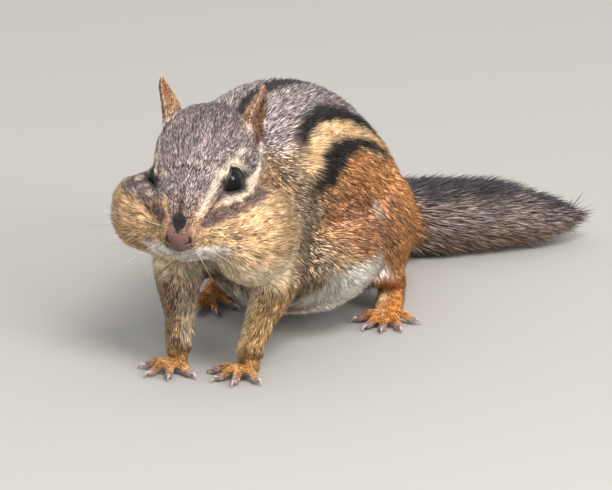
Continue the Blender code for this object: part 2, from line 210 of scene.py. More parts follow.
toe = {                     # mm; heights are above the floor
    "rootHeight": 1.9, "rootRadius": 1.3,
    "knuckleHeight": 2.2, "knuckleRadius": 1.2,
    "waistBeforePad": 1.2, "waistHeight": 1.5, "waistRadius": 1.05,
    "padHeight": 1.15, "padRadius": 1.15,
    "padBehindReach": 1.9,
    "clawRoot": 0.75, "clawLength": 1.5, "clawRadius": 0.42, "clawTipHeight": 0.45, "clawTipRadius": 0.12,
    # share of the claw's length, height, then width and thickness in claw radii
    "clawStations": [(0.0, 1.4, 1.0, 1.2), (0.45, 1.45, 0.85, 1.0), (0.8, 1.0, 0.5, 0.6)],
}


def footPlace(foot, side, local):
    # a place seen from under the wrist or ankle, put where the foot stands
    x, y, z = local
    turn = math.radians(foot["heading"])
    x *= side
    return (foot["joint"][side][0] + x * math.cos(turn) - y * math.sin(turn),
            foot["joint"][side][1] + x * math.sin(turn) + y * math.cos(turn), z)


def toeStations(foot, side, angle, reach):
    turn = math.radians(angle)

    def at(distance, height):
        palm = foot["palm"]
        return footPlace(foot, side, (palm[0] + math.sin(turn) * distance,
                                      palm[1] - math.cos(turn) * distance, height))

    pad = reach - toe["padBehindReach"]
    knuckle = (foot["palmRadius"] + pad) * 0.5
    flesh = []
    for name, distance in (("root", foot["palmRadius"]), ("knuckle", knuckle),
                           ("waist", pad - toe["waistBeforePad"]), ("pad", pad)):
        radius = toe[name + "Radius"]
        flesh.append((*at(distance, toe[name + "Height"]), radius, radius))
    root, length, radius, tip = [toe["claw" + word] for word in ("Root", "Length", "Radius", "TipRadius")]
    root += pad
    claw = [(*at(root + share * length, height), radius * wide, radius * thick)
            for share, height, wide, thick in toe["clawStations"]]
    return flesh, claw + [(*at(root + length, toe["clawTipHeight"]), tip, tip)]


def addTube(target, stations, sides=14, domes=(70.0, 45.0, 20.0)):
    # a closed round-ended tube through stations of x, y, z, half width and half height in mm
    rows = smoothLine(stations, 5)
    heading = unit(np.gradient(rows[:, :3], axis=0))
    across = unit(np.cross(heading, (0.02, 0.3, 1.0)))      # no tube runs this way
    above = np.cross(across, heading)
    sections = [(rows[i, :3], across[i], above[i], rows[i, 3:]) for i in range(len(rows))]
    for end, sign, order in ((0, -1, 1), (-1, 1, -1)):
        cap = []
        for tilt in np.radians(domes):
            centre = rows[end, :3] + sign * heading[end] * rows[end, 3:].min() * math.sin(tilt)
            cap.append((centre, across[end], above[end], rows[end, 3:] * math.cos(tilt)))
        sections = cap + sections if sign < 0 else sections + cap[::order]
    rings = []
    for centre, sideways, upward, radii in sections:
        ring = []
        for turn in np.linspace(0.0, 2 * math.pi, sides, endpoint=False):
            place = centre + sideways * radii[0] * math.cos(turn) + upward * radii[1] * math.sin(turn)
            ring.append(target.verts.new(toFrame(place)))
        rings.append(ring)
    made = [target.faces.new(rings[0]), target.faces.new(rings[-1])]
    for ring, after in zip(rings, rings[1:]):
        for i in range(sides):
            j = (i + 1) % sides
            made.append(target.faces.new((ring[i], ring[j], after[j], after[i])))
    bmesh.ops.recalc_face_normals(target, faces=made)


# the eyes: middles in mm; angles are from the way that the eye looks out of the head
eyeCentre = {side: toBody(np.mean(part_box("eye_" + word), axis=0)) for side, word in sides}
eye = {
    "radius": 3.5,          # mm
    "axis": (0.93, -0.33, 0.16),    # the way that the left eye looks
    "openingUp": 76.0,      # degrees to the upper lid
    "openingDown": 97.0,    # to the lower lid
    "openingFront": 56.0,
    "openingBack": 64.0,
    "cornerReach": 6.0,     # the front corner of the lids runs this much further
    "cornerPlace": (-42.0, 22.0),   # degrees round the eye, middle and width
    "browDrop": 24.0,       # the brow comes this much lower over the upper front
    "browPlace": (60.0, 42.0),
    "lidThickness": 0.35,   # mm
    "lidEdge": 0.35,        # mm inside the lid's edge over which the skin drops behind the ball
    "socket": 0.7,          # how far it drops, in radii from the ball's centre
    "lidHug": 20.0,         # degrees over which the skin leaves the ball
    "lidReach": 5.0,        # mm past the lid's edge that the socket shapes
    "lidFlat": 0.15,        # mm past the lid's edge that the skin lies on the ball
    "bowlReach": 9.0,       # mm from the ball's centre that the bowl ends at the latest
    "bowl": 0.5,            # rise of the face out of the socket, mm per mm
    "faceReach": 1.7,       # mm off the ball where the lids end at the latest
    "settle": 0.6,          # how far the face under the eye comes down to the ball
    "settlePlace": (-85.0, 55.0),
    "settleReach": (5.0, 10.0),     # mm from the ball's centre over which that fades
    "fieldReach": 14.0,     # mm from the ball's centre at which its lids are still asked for
}
lidRim = eye["radius"] + eye["lidThickness"]


def eyeFrame(side):
    outward = unit(np.array(eye["axis"]) * (side, 1.0, 1.0))
    upward = unit(np.array((0.0, 0.0, 1.0)) - outward * outward[2])
    forward = np.cross(upward, outward)
    forward *= -1 if forward[1] > 0 else 1
    return outward, upward, forward


def lidField(places):
    # for each place: its eye, mm past the lid's edge over the ball, angle round the eye (0 is
    # towards the nose, 90 up), direction and distance from the ball's centre
    gap = np.full(len(places), 99.0)
    around = np.zeros(len(places))
    way = np.zeros_like(places)
    reach = np.full(len(places), 99.0)
    centres = np.zeros_like(places)
    for side in (1, -1):
        outward, upward, forward = eyeFrame(side)
        radial = places - eyeCentre[side]
        distance = lengthOf(radial)
        here = distance < np.minimum(reach, eye["fieldReach"])
        direction = radial / np.maximum(distance, 1e-6)[:, None]
        angle = np.degrees(np.arccos(np.clip(direction @ outward, -1.0, 1.0)))
        turn = np.degrees(np.arctan2(direction @ upward, direction @ forward))
        lift = np.sin(np.radians(turn))
        ahead = np.cos(np.radians(turn))
        tall = np.where(lift > 0, eye["openingUp"], eye["openingDown"])
        wide = np.where(ahead > 0, eye["openingFront"], eye["openingBack"])
        opening = tall * lift ** 2 + wide * ahead ** 2
        opening += eye["cornerReach"] * bump(turn, eye["cornerPlace"])
        opening -= eye["browDrop"] * bump(turn, eye["browPlace"])
        past = np.radians(angle - opening) * eye["radius"]
        gap[here], around[here], reach[here] = past[here], turn[here], distance[here]
        way[here] = direction[here]
        centres[here] = eyeCentre[side]
    above = np.maximum(reach - eye["radius"] - eye["faceReach"], 0.0)
    gap = np.where(above > 0, np.hypot(np.maximum(gap, 0.0), above), gap)
    return gap, around, way, reach, centres


def settleFace(places):
    # the cheek bone under each eye lies lower, so that the ball shows down to its lower lid
    turn, way, reach, centres = lidField(places)[1:]
    share = eye["settle"] * bump(turn, eye["settlePlace"]) * fall(*eye["settleReach"], reach)
    lower = reach - np.maximum(reach - lidRim, 0.0) * share
    return np.where(reach[:, None] < eye["settleReach"][1], centres + way * lower[:, None], places)


# the skin: all flesh grown together, smoothed, then drawn in by the depth of the coat
skinSettings = {
    "seam": 0.2,            # mm, how far each node swells first, so that the cuts close
    "voxel": 0.45,          # mm
    "keptOnBody": 0.15,     # of the remeshed faces there; the head and feet keep all
    "bodySmoothing": 50,    # rounds
    "headSmoothing": 8,
    "fineSmoothing": 3,
    "bodyBehind": (14.0, 22.0),     # mm back and up over which the trunk begins
    "bodyAbove": (7.0, 12.0),
    "tailBehind": (76.0, 80.0),
    "earsAbove": (55.0, 58.0), "earsBefore": (17.0, 19.0),
    "feetBelow": (4.5, 7.0), "feetBefore": (74.0, 78.0),
}


def joinedFlesh(settings):
    flesh = bmesh.new()
    for name in fleshNodes:
        if "foot" not in name:
            flesh.from_mesh(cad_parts[name].data)
    bmesh.ops.remove_doubles(flesh, verts=flesh.verts, dist=1e-6)
    flesh.normal_update()
    for vert in flesh.verts:
        vert.co += vert.normal * settings["seam"] * mm
    for foot in feet.values():
        for side in (1, -1):
            sole = [(*footPlace(foot, side, row[:3]), row[3], row[4]) for row in foot["sole"]]
            addTube(flesh, sole, sides=20)
            for angle, reach in foot["toes"]:
                addTube(flesh, toeStations(foot, side, angle, reach)[0])
    for side in (1, -1):            # closed lids over each socket, opened later
        ball = bmesh.ops.create_uvsphere(flesh, u_segments=40, v_segments=24, radius=lidRim * mm)
        bmesh.ops.translate(flesh, verts=ball["verts"], vec=Vector(toFrame(eyeCentre[side])))
    mesh = bpy.data.meshes.new("skin")
    flesh.to_mesh(mesh)
    flesh.free()
    return newObject("skin", mesh)


def newObject(name, mesh):
    item = bpy.data.objects.new(name, mesh)
    bpy.context.scene.collection.objects.link(item)
    return item


def applyModifiers(item):
    shown = item.evaluated_get(bpy.context.evaluated_depsgraph_get())
    mesh = bpy.data.meshes.new_from_object(shown)
    item.modifiers.clear()
    item.data = mesh


def readMesh(rows, key, columns, kind=np.float32):
    values = np.empty(len(rows) * columns, kind)
    rows.foreach_get(key, values)
    return values.reshape(-1, columns)


def bodyPlaces(mesh):
    return toBody(readMesh(mesh.vertices, "co", 3))


def placeOnBody(mesh, places):
    mesh.vertices.foreach_set("co", toFrame(places).astype(np.float32).ravel())
    mesh.update()


def edgePairs(mesh):
    return readMesh(mesh.edges, "vertices", 2, np.int32)


def neighbourMean(values, pairs):
    a, b = pairs.T
    count = np.bincount(a, minlength=len(values)) + np.bincount(b, minlength=len(values))
    total = np.empty_like(values)
    for column in range(values.shape[1]):
        total[:, column] = (np.bincount(a, weights=values[b, column], minlength=len(values))
                            + np.bincount(b, weights=values[a, column], minlength=len(values)))
    return total / np.maximum(count, 1)[:, None]


def relax(places, pairs, rounds):
    # rounds says how many of the steps each vertex takes
    for step in range(int(np.ceil(rounds.max()))):
        active = np.clip(rounds - step, 0.0, 1.0)[:, None]
        places = places + 0.5 * active * (neighbourMean(places, pairs) - places)
    return places


def makeSkin(settings):
    skin = joinedFlesh(settings)
    remesh = skin.modifiers.new("Remesh", "REMESH")
    remesh.mode = "VOXEL"
    remesh.voxel_size = settings["voxel"] * mm
    applyModifiers(skin)
    places = bodyPlaces(skin.data)
    y, z = places[:, 1], places[:, 2]
    body = ease(*settings["bodyBehind"], y) * ease(*settings["bodyAbove"], z)
    body = np.maximum(body, ease(*settings["tailBehind"], y))
    ears = ease(*settings["earsAbove"], z) * fall(*settings["earsBefore"], y)
    fine = np.maximum(ears, fall(*settings["feetBelow"], z)) * fall(*settings["feetBefore"], y)
    rounds = settings["headSmoothing"] * (1 - body) + settings["bodySmoothing"] * body
    rounds = rounds * (1 - fine) + settings["fineSmoothing"] * fine
    placeOnBody(skin.data, relax(places, edgePairs(skin.data), rounds))
    group = skin.vertex_groups.new(name="coarse")
    group.add(np.nonzero(body > 0.5)[0].tolist(), 1.0, "REPLACE")
    decimate = skin.modifiers.new("Decimate", "DECIMATE")
    decimate.ratio = 1 - float(np.mean(body > 0.5)) * (1 - settings["keptOnBody"])
    decimate.vertex_group = "coarse"
    applyModifiers(skin)
    skin.vertex_groups.clear()
    return skin


def refineNear(skin, centres, reach):
    # splits the faces near each centre once more
    fine = bmesh.new()
    fine.from_mesh(skin.data)
    spots = [Vector(toFrame(centre)) for centre in centres]
    near = [edge for edge in fine.edges
            if min((edge.verts[0].co - spot).length for spot in spots) < reach * mm]
    bmesh.ops.subdivide_edges(fine, edges=near, cuts=1, use_grid_fill=True)
    bmesh.ops.triangulate(fine, faces=[face for face in fine.faces if len(face.verts) > 3])
    fine.to_mesh(skin.data)
    fine.free()


skin = makeSkin(skinSettings)
eyeSpots = [eyeCentre[1], eyeCentre[-1]]
muzzleSpot, noseSpot = (1.2, -15.0, 37.0), (1.2, -15.6, 38.0)
for centres, reach in ((eyeSpots, 5.6), (eyeSpots, 4.7), ([muzzleSpot], 6.0), ([noseSpot], 3.4)):
    refineNear(skin, centres, reach)
print("skin", len(skin.data.vertices), "vertices", len(skin.data.polygons), "faces")


# how much of each vertex belongs to each part of the animal
blendReach = 0.7            # mm over which one part passes into the next


def partShares(places):
    gaps = []
    points = [Vector(place) for place in toFrame(places)]
    for names in partNodes.values():
        verts, faces = [], []
        for name in names:
            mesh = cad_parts[name].data
            first = len(verts)
            verts += [vert.co.copy() for vert in mesh.vertices]
            faces += [[first + index for index in face.vertices] for face in mesh.polygons]
        tree = BVHTree.FromPolygons(verts, faces)
        gaps.append([tree.find_nearest(point)[3] / mm for point in points])
    gaps = np.array(gaps)
    shares = np.exp(-(gaps - gaps.min(axis=0)) / blendReach)
    shares /= shares.sum(axis=0)
    return dict(zip(partNodes, shares))


outer = settleFace(bodyPlaces(skin.data))       # the outline, out to the tips of the coat
placeOnBody(skin.data, outer)
pairs = edgePairs(skin.data)
normals = readMesh(skin.data.vertex_normals, "vector", 3).astype(float)
shares = partShares(outer)
side = np.where(outer[:, 0] > middleX, 1, -1)
trunk = shares["neck"] + shares["chest"] + shares["loin"] + shares["rump"] + shares["thighs"]
headPart = shares["head"] + shares["cheeks"]
feetPart = shares["forefeet"] + shares["hindfeet"]
eyeGap, eyeRound, eyeWay, eyeReach = lidField(outer)[:4]
padGap = np.full(len(outer), 99.0)          # from the nearest toe's end
for foot in feet.values():
    for each in (1, -1):
        for angle, reach in foot["toes"]:
            pad = np.array(toeStations(foot, each, angle, reach)[0][-1][:3])
            padGap = np.minimum(padGap, lengthOf(outer - pad))


def aroundSpine(places):
    # distance back along the spine, and the angle from the top of the back round to the belly
    travel, spot, heading = alongLine(places, spine)[:3]
    sideways = unit(np.cross(heading, (0.0, 0.0, 1.0)))
    upward = np.cross(sideways, heading)
    out = places - spot
    turn = np.degrees(np.arctan2((out * sideways).sum(1), (out * upward).sum(1)))
    return travel, turn, heading


combing = {
    "flankDroop": 0.65,     # how much the flank's hair hangs, against how much it runs back
    "thighDroop": 0.25,
    "evening": 12,          # rounds
    "partingReach": (4.0, 7.5),     # mm from an eye's middle over which the hair parts round it
    "parting": 0.3,
}


def lieOfCoat(places):
    # the way that the hair runs: back from the nose and mouth, along trunk and tail, down the legs
    turn, heading = aroundSpine(places)[1:]
    down = np.array((0.0, 0.0, -1.0))
    flank = ease(20.0, 80.0, np.abs(turn)) * fall(120.0, 150.0, np.abs(turn))
    alongTrunk = heading + combing["flankDroop"] * flank[:, None] * down
    fromNose = unit(places - noseTip - (0.0, -1.2, 0.0))
    mouthCorner = np.where(places[:, :1] > 1.2, (2.0, -14.0, 37.5), (0.4, -14.0, 38.0))
    fromMouth = unit(places - mouthCorner)
    legLie = np.zeros_like(places)
    footLie = np.zeros_like(places)
    hindLie = np.zeros_like(places)
    for each in (1, -1):
        here = side == each
        legLie[here] = alongLine(places[here], smoothLine(foreleg[each]))[2]
        footLie[here] = unit(places[here] - (*feet["fore"]["joint"][each], 6.0) + (0.0, 1.5, 0.0))
        hindLie[here] = unit(places[here] - (*feet["hind"]["joint"][each], 6.0) + (0.0, 3.0, 0.0))
    footLie[:, 2] *= 0.5
    hindLie[:, 2] *= 0.5
    lies = {
        "head": fromNose,
        "cheeks": fromMouth,
        "ears": np.tile((0.0, 0.15, 1.0), (len(places), 1)),
        "neck": alongTrunk,
        "chest": alongTrunk,
        "loin": alongTrunk,
        "rump": alongTrunk,
        "thighs": alongTrunk * (1.0, 0.8, 1.0) + combing["thighDroop"] * down,
        "shanks": np.tile((0.0, 0.15, -1.0), (len(places), 1)),
        "forelegs": legLie,
        "forefeet": footLie,
        "hindfeet": hindLie,
        "tail": alongLine(places, tailLine)[2],
    }
    lie = flatten(sum(shares[part][:, None] * unit(lies[part]) for part in partNodes), normals)
    for step in range(combing["evening"]):
        lie = flatten(neighbourMean(lie, pairs), normals)
    # round the eyes the hair parts and runs past the lids
    away = flatten(eyeWay, normals)
    near = fall(*combing["partingReach"], eyeReach)
    towards = (lie * away).sum(1)
    lie = lie + away * (near * (combing["parting"] - np.minimum(towards, 0.0)))[:, None]
    return flatten(lie, normals)


# the coat: mm long, and degrees that the hair stands off the skin
coat = {
    "head": (2.4, 11.0), "cheeks": (3.2, 14.0), "ears": (0.9, 12.0), "neck": (3.4, 14.0),
    "chest": (4.0, 15.0), "loin": (4.4, 14.0), "rump": (4.8, 15.0), "thighs": (4.4, 13.0),
    "shanks": (2.6, 12.0), "forelegs": (3.2, 13.0), "forefeet": (1.2, 12.0),
    "hindfeet": (1.3, 12.0), "tail": (7.5, 21.0),
}


def mixed(values):
    return sum(shares[part] * values[part] for part in partNodes)


lie = lieOfCoat(outer)
furLength = mixed({part: coat[part][0] for part in partNodes})
furLift = np.radians(mixed({part: coat[part][1] for part in partNodes}))
noseReach = lengthOf(outer - noseTip)
# shorter on the face towards the nose, at the lids, under the eye and on the ears' tips
shortFace = 0.22 + 0.78 * ease(1.5, 17.0, noseReach)
furLength *= 1 - headPart + headPart * shortFace
furLength *= 0.3 + 0.7 * ease(0.2, 4.5, eyeGap)
underEye = [(7.9, -6.1, 45.1), (9.8, -4.8, 44.9), (11.4, -2.9, 45.5), (12.4, 0.8, 46.4), (12.7, 5.2, 47.4),
            (12.7, 8.4, 49.2), (12.4, 10.2, 51.4)]
furLength *= 1 - 0.55 * headPart * fall(0.8, 4.0, nearLine(headFrame(outer), underEye))
furLength *= 1 - 0.45 * shares["ears"] * ease(62.0, 66.5, outer[:, 2])
depth = furLength * np.sin(furLift)         # from the coat's tips down to the skin
depth *= 1 - headPart * fall(2.0, 6.0, noseReach)
print("coat laid out, skin", round(float(depth.min()), 2), "to", round(float(depth.max()), 2), "mm inside")

places = relax(outer, pairs, 5.0 * (1 - shares["ears"]) * (1 - feetPart) * ease(3.0, 8.0, noseReach))
places = places - normals * (depth + skinSettings["seam"] * (1 - feetPart))[:, None]
earShape = {"from": 61.0, "narrower": 0.22, "lower": 2.6, "tipOut": 0.4}     # mm up, share, mm, mm
for each, word in sides:                    # each ear narrows to a point
    ear = bodyPlaces(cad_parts["ear_" + word].data)
    tip = ear[np.argmax(ear[:, 2])] + (earShape["tipOut"], 0.0, 0.0)
    narrow = shares["ears"] * ease(earShape["from"], tip[2], outer[:, 2]) * (side == each)
    narrow *= earShape["narrower"]
    places[:, :2] += (tip[:2] - places[:, :2]) * narrow[:, None]
    places[:, 2] -= narrow * earShape["lower"]


def shapeLids(places):
    # the lids follow the ball up to their edge; inside the edge the skin drops behind the ball
    gap, _, way, reach, centres = lidField(places)
    hold = reach.copy()
    drop = ease(0.0, -eye["lidEdge"], gap)
    inside = gap < 0
    hold[inside] = (lidRim * (1 - drop) + eye["radius"] * eye["socket"] * drop)[inside]
    hug = fall(eye["lidFlat"], math.radians(eye["lidHug"]) * eye["radius"], gap)
    outside = (reach < eye["bowlReach"]) & (gap >= 0) & (gap < eye["lidReach"])
    apart = np.hypot(gap * reach / eye["radius"], np.maximum(reach - lidRim, 0.0))
    bowl = np.minimum(np.maximum(reach, lidRim), lidRim + eye["bowl"] * apart)
    hold[outside] = (bowl * (1 - hug) + lidRim * hug)[outside]
    moved = inside | outside
    places[moved] = (centres + way * hold[:, None])[moved]
    return places


# dents: lines in the head's frame, mm wide and deep
dents = {
    "nostril": ([(1.7, -16.0, 37.3), (2.4, -15.6, 37.4), (2.85, -15.2, 37.9), (2.7, -15.1, 38.8)], 0.4, 0.5),
    "philtrum": ([(0.0, -16.6, 37.6), (0.0, -16.0, 36.2), (0.0, -14.6, 34.6)], 0.3, 0.22),
    "upperLip": ([(0.0, -14.3, 34.4), (1.2, -14.0, 34.3), (2.4, -13.3, 34.8), (3.4, -12.4, 35.6)], 0.4, 0.3),
    "mouth": ([(0.0, -12.6, 32.7), (1.3, -12.0, 32.4), (2.4, -11.0, 32.2), (3.4, -9.8, 32.6)], 0.5, 0.4),
}


def dent(places, towards):
    at = headFrame(places)
    marks = {}
    for name, (line, wide, deep) in dents.items():
        marks[name] = band(nearLine(at, line), wide * 0.75, wide * 1.5)
        places = places - towards * (marks[name] * deep)[:, None]
    return places, marks


places = shapeLids(places)
places, dentMarks = dent(places, normals)
places[:, 2] = np.maximum(places[:, 2], 0.03)       # clear of the floor
placeOnBody(skin.data, places)
skin.data.shade_smooth()
print("skin drawn in")

# the markings, by the colour of the hair
tones = {
    "agouti": "#B29470", "backBrown": "#968890", "black": "#1A181E", "cream": "#FAD6A6",
    "gold": "#C49258", "rust": "#E8A258", "deepRust": "#D0802E", "lowRust": "#AC6A30",
    # the shoulder's own brown, also laid on the right foreleg as painted shade
    "shoulderAndShade": "#806440", "white": "#FFFBF4", "inner": "#D8C6A8", "paleMark": "#E4DACC",
    "crown": "#766470", "bridge": "#825C4A", "pouch": "#D8B080", "pouchLow": "#FFEBC8",
    "throat": "#F0E2CC", "muzzle": "#DCB084", "muzzlePink": "#9C7468", "neckOchre": "#D29C60",
    "cheekDark": "#60423A", "eyeLine": "#4A3A3C", "brow": "#DECCB6", "crescent": "#E8D4BC",
    # the nostrils' near black, laid as painted shade in the nostrils, in the creases of the lip and deep in
    # the ear
    "nose": "#5E4440", "nostril": "#1C1210", "lip": "#B4766C", "lipWhite": "#FCF6F0", "lid": "#181214",
    "earBack": "#9A6438", "earInside": "#74503C", "earPale": "#E6D6CA",
    "foreleg": "#D4A664", "forefoot": "#CC9450", "hindfoot": "#D88C3A", "toe": "#A08682",
    "tail": "#6E5E5C", "tailDark": "#22222C", "tailLow": "#5E4430",
}
tipShare = 0.85             # of a hair's length: where its colour shows
markAt = outer + lie * (furLength * tipShare)[:, None]
travel, turn = aroundSpine(markAt)[:2]
wide = np.abs(turn)
headAt = headFrame(markAt)
height = markAt[:, 2]
# the right eye sits a little further out and lower, and the marks under it with it
underRight = (side < 0) * ease(41.0, 44.0, height) * fall(49.0, 52.0, height)
headAt = headAt - np.array((0.5, -1.5, 1.0)) * underRight[:, None]
pelage = np.tile(linear(tones["agouti"]), (len(outer), 1))
grizzle = np.full(len(outer), 0.9)


def paint(tone, mask, speckle=None):
    # speckle is how grizzled the hair is, 0 to 1
    mask = np.clip(mask, 0.0, 1.0)
    pelage[:] = pelage + (linear(tones[tone]) - pelage) * mask[:, None]
    if speckle is not None:
        grizzle[:] = grizzle + (speckle - grizzle) * mask


def wobble(points, size, seed):
    # slow, even noise from a few crossing waves
    rng = np.random.default_rng(seed)
    total = np.zeros(len(points))
    for wave in range(6):
        way = unit(rng.normal(size=3))
        total += np.sin(points @ way * 2 * math.pi / (size * rng.uniform(0.7, 1.5)) + rng.uniform(0, 6.28))
    return total / 3.0


# flank, back and rump
ragged = wobble(markAt, 6.0, 1) * 1.2
behindShoulder = ease(27.5, 33.5, markAt[:, 1] + ragged)
paint("gold", trunk * behindShoulder * ease(56.0, 66.0, wide), 0.65)
paint("rust", trunk * ease(30.0, 47.0, markAt[:, 1] + 2 * ragged) * ease(58.0, 66.0, wide), 0.5)
paint("deepRust", trunk * ease(31.0, 44.0, markAt[:, 1] + ragged) * ease(68.0, 84.0, wide) * 0.5, 0.45)
paint("lowRust", trunk * ease(30.0, 38.0, markAt[:, 1] + ragged) * ease(78.0, 94.0, wide) * 0.65, 0.7)
paint("shoulderAndShade", trunk * (1 - behindShoulder) * ease(50.0, 75.0, wide) * 0.8, 0.8)
paint("backBrown", trunk * fall(26.0, 50.0, wide - 12 * fall(20.0, 30.0, travel)), 0.8)
paint("rust", trunk * ease(58.0, 68.0, travel + ragged), 0.35)
paint("deepRust", trunk * ease(64.0, 76.0, travel) * 0.7, 0.3)

# the stripes: mm back along the spine, degrees down from the top of the back, half width
stripes = [
    ("black", [(22, 56, 8.5), (27, 46, 7.7), (31, 39.5, 6.5), (38, 35, 5.8), (43, 34.8, 5.4), (48, 35.5, 5.2),
               (53, 37.5, 5.0), (60, 39, 4.2), (66, 40, 3.5)]),
    ("cream", [(24, 66, 8), (27, 61, 9), (31, 56.5, 10.5), (36, 50, 8), (41, 46.5, 6.3), (45, 46, 5.8),
               (50, 46.4, 5.0), (55, 46.6, 4.4), (66, 47, 4)]),
    ("black", [(27, 93, 13), (29, 88, 14.5), (32, 81, 15), (36, 71, 12.8), (41, 62.3, 9.3), (44.5, 58.5, 7),
               (48, 56.3, 5.2), (55, 53.6, 3.8), (66, 53.5, 3.5)]),
]
fade = trunk * ease(22.0, 27.0, travel + ragged) * fall(60.0, 68.0, travel + ragged)
fade *= fall(80.0, 92.0, wide + ragged)
for tone, line in stripes:
    at, middle, half = np.array(line, dtype=float).T
    apart = np.abs(wide - np.interp(travel, at, middle) + ragged * 0.5) - np.interp(travel, at, half)
    paint(tone, fade * fall(-1.2, 1.2, apart), 0.06)
paint("black", trunk * ease(8.0, 16.0, travel) * fall(60.0, 68.0, travel)
      * band(wide + ragged * 0.4, 6.0, 3.5), 0.15)
paint("rust", fade * ease(50.0, 64.0, travel) * band(np.abs(wide - 48), 6.0, 3.0) * 0.3)

# belly: white below a line that climbs behind the elbow and falls towards the thigh
whiteLine = np.array([(8, 6), (20, 7), (24, 10), (26.5, 14), (29, 17.8), (32, 19.3), (37, 19),
                      (46, 17.5), (54, 14), (57, 9), (61, 4), (85, 3)], dtype=float)
edge = np.interp(markAt[:, 1], whiteLine[:, 0], whiteLine[:, 1])
belly = trunk + shares["forelegs"] * ease(24.0, 27.0, markAt[:, 1]) * ease(8.0, 10.0, height)
greyEdge = fall(-1.0, 3.5, height - edge + ragged) * (0.35 + 0.45 * ease(32.0, 38.0, markAt[:, 1]))
paint("inner", belly * greyEdge, 0.2)
paint("white", belly * fall(-2.2, 0.8, height - edge + ragged), 0.06)
insideLeg = ease(0.1, 0.6, -normals[:, 0] * side) * fall(5.0, 9.0, travel - 60)
paint("throat", (shares["chest"] + shares["neck"]) * fall(12.0, 18.0, markAt[:, 1])
      * band(np.abs(markAt[:, 0] - 1.5), 8.0, 6.0), 0.15)
paint("paleMark", egg(markAt, (29.0, 53.0, 27.6), (4.0, 1.6, 5.6), 0.8, 0.9) * shares["thighs"] * 0.85, 0.2)

# legs and feet
paint("foreleg", shares["forelegs"] * fall(21.0, 25.0, markAt[:, 1] + ragged), 0.5)
# the right foreleg is darkened as painted shade, for the head's shadow on it; both forelegs also darken
# upwards into the shoulder's own brown
paint("shoulderAndShade", shares["forelegs"] * ((side < 0) * 0.75 + 0.4 * ease(12.0, 20.0, height)), 0.7)
paint("inner", (shares["forelegs"] + shares["shanks"]) * insideLeg * 0.7, 0.25)
paint("forefoot", shares["forefeet"], 0.3)
paint("hindfoot", shares["shanks"] * (1 - insideLeg * 0.8), 0.2)
paint("hindfoot", shares["hindfeet"], 0.2)
insideHind = (shares["shanks"] + shares["hindfeet"]) * ease(-0.3, 0.4, -normals[:, 0] * side)
paint("inner", insideHind * ease(2.0, 5.0, height) * 0.75, 0.2)
paint("toe", feetPart * band(padGap, 1.7, 1.2) * 0.8, 0.1)

# head
paint("crown", headPart, 0.95)
paint("bridge", shares["head"] * band(headAt[:, 0], 4.2, 2.6) * fall(43.0, 50.0, height), 0.7)
paint("neckOchre", headPart * ease(2.5, 8.0, markAt[:, 1]) * fall(46.0, 50.0, height) * 0.85, 0.5)
pouchTop = 46.0 - 0.3 * (markAt[:, 1] + 4)
paint("pouch", headPart * fall(pouchTop - 3.0, pouchTop + 1.0, height + ragged * 0.5)
      * ease(2.8, 4.6, headAt[:, 0]), 0.42)
# a golden rim behind the dark cheek line, up to the root of the ear
paint("pouch", headPart * ease(15.9, 17.7, headAt[:, 0]) * fall(46.5, 49.0, height), 0.42)
goldRim = nearLine(headAt, [(17.8, 21.1, 35.8), (16.6, 21.9, 38.4), (15.5, 21.4, 40.9), (14.0, 20.8, 43.4),
                            (13.2, 18.5, 45.8), (12.6, 16.5, 48.5)])
paint("pouch", (headPart + shares["neck"]) * band(goldRim, 1.5, 2.0) * 0.8, 0.4)
paint("pouchLow", headPart * fall(27.0, 34.0, height) * 0.85, 0.25)
paint("muzzle", egg(headAt, (4.4, -12.0, 40.0), (2.6, 3.6, 3.8), 0.9, 0.6) * shares["head"], 0.3)
paint("throat", shares["head"] * fall(31.0, 35.0, height) * band(headAt[:, 0], 7.0, 4.0), 0.1)
paint("lipWhite", shares["head"] * fall(34.4, 36.4, height) * fall(-9.0, -5.0, markAt[:, 1]), 0.05)
# lines of the face: tone, places in the head's frame, half width, softness and speckle
faceLines = [
    ("cheekDark", [(5.4, -10.8, 41.8), (6.6, -9.4, 42.3), (8.8, -6.9, 43.2), (11.7, -4.4, 44.0),
                   (13.7, -1.6, 45.0), (15.2, 0.8, 45.6), (14.9, 3.5, 46.3)], 1.7, 1.5, 0.36),
    ("brow", underEye[:3], 0.55, 0.6, 0.08),
    ("crescent", underEye[2:], 1.2, 0.9, 0.14),
    ("eyeLine", [(10.6, 2.0, 50.0), (11.3, 3.2, 51.9), (11.4, 4.7, 53.3)], 1.0, 1.0, 0.3),
    ("brow", [(4.1, -11.8, 43.6), (5.0, -9.9, 45.7), (5.8, -7.7, 47.5)], 0.8, 0.9, 0.2),
    ("brow", [(5.8, -7.7, 47.5), (6.3, -5.2, 50.0), (6.9, -3.0, 52.2), (7.9, -0.8, 54.0), (9.1, 1.6, 55.1),
              (10.0, 4.2, 55.8)], 0.95, 0.8, 0.1),
    ("eyeLine", [(5.6, -10.6, 43.1), (6.7, -8.2, 45.0), (7.5, -5.9, 46.4), (7.9, -4.6, 47.2)],
     0.5, 0.5, 0.25),
]
browEdge = nearLine(headAt, [(4.6, -8.5, 47.6), (5.8, -5.0, 51.5), (7.0, -2.0, 54.8), (8.4, 1.5, 57.2)])
paint("eyeLine", headPart * band(browEdge, 0.8, 1.8) * 0.35)
for tone, line, half, feather, speckle in faceLines:
    paint(tone, headPart * band(nearLine(headAt, line), half, feather), speckle)
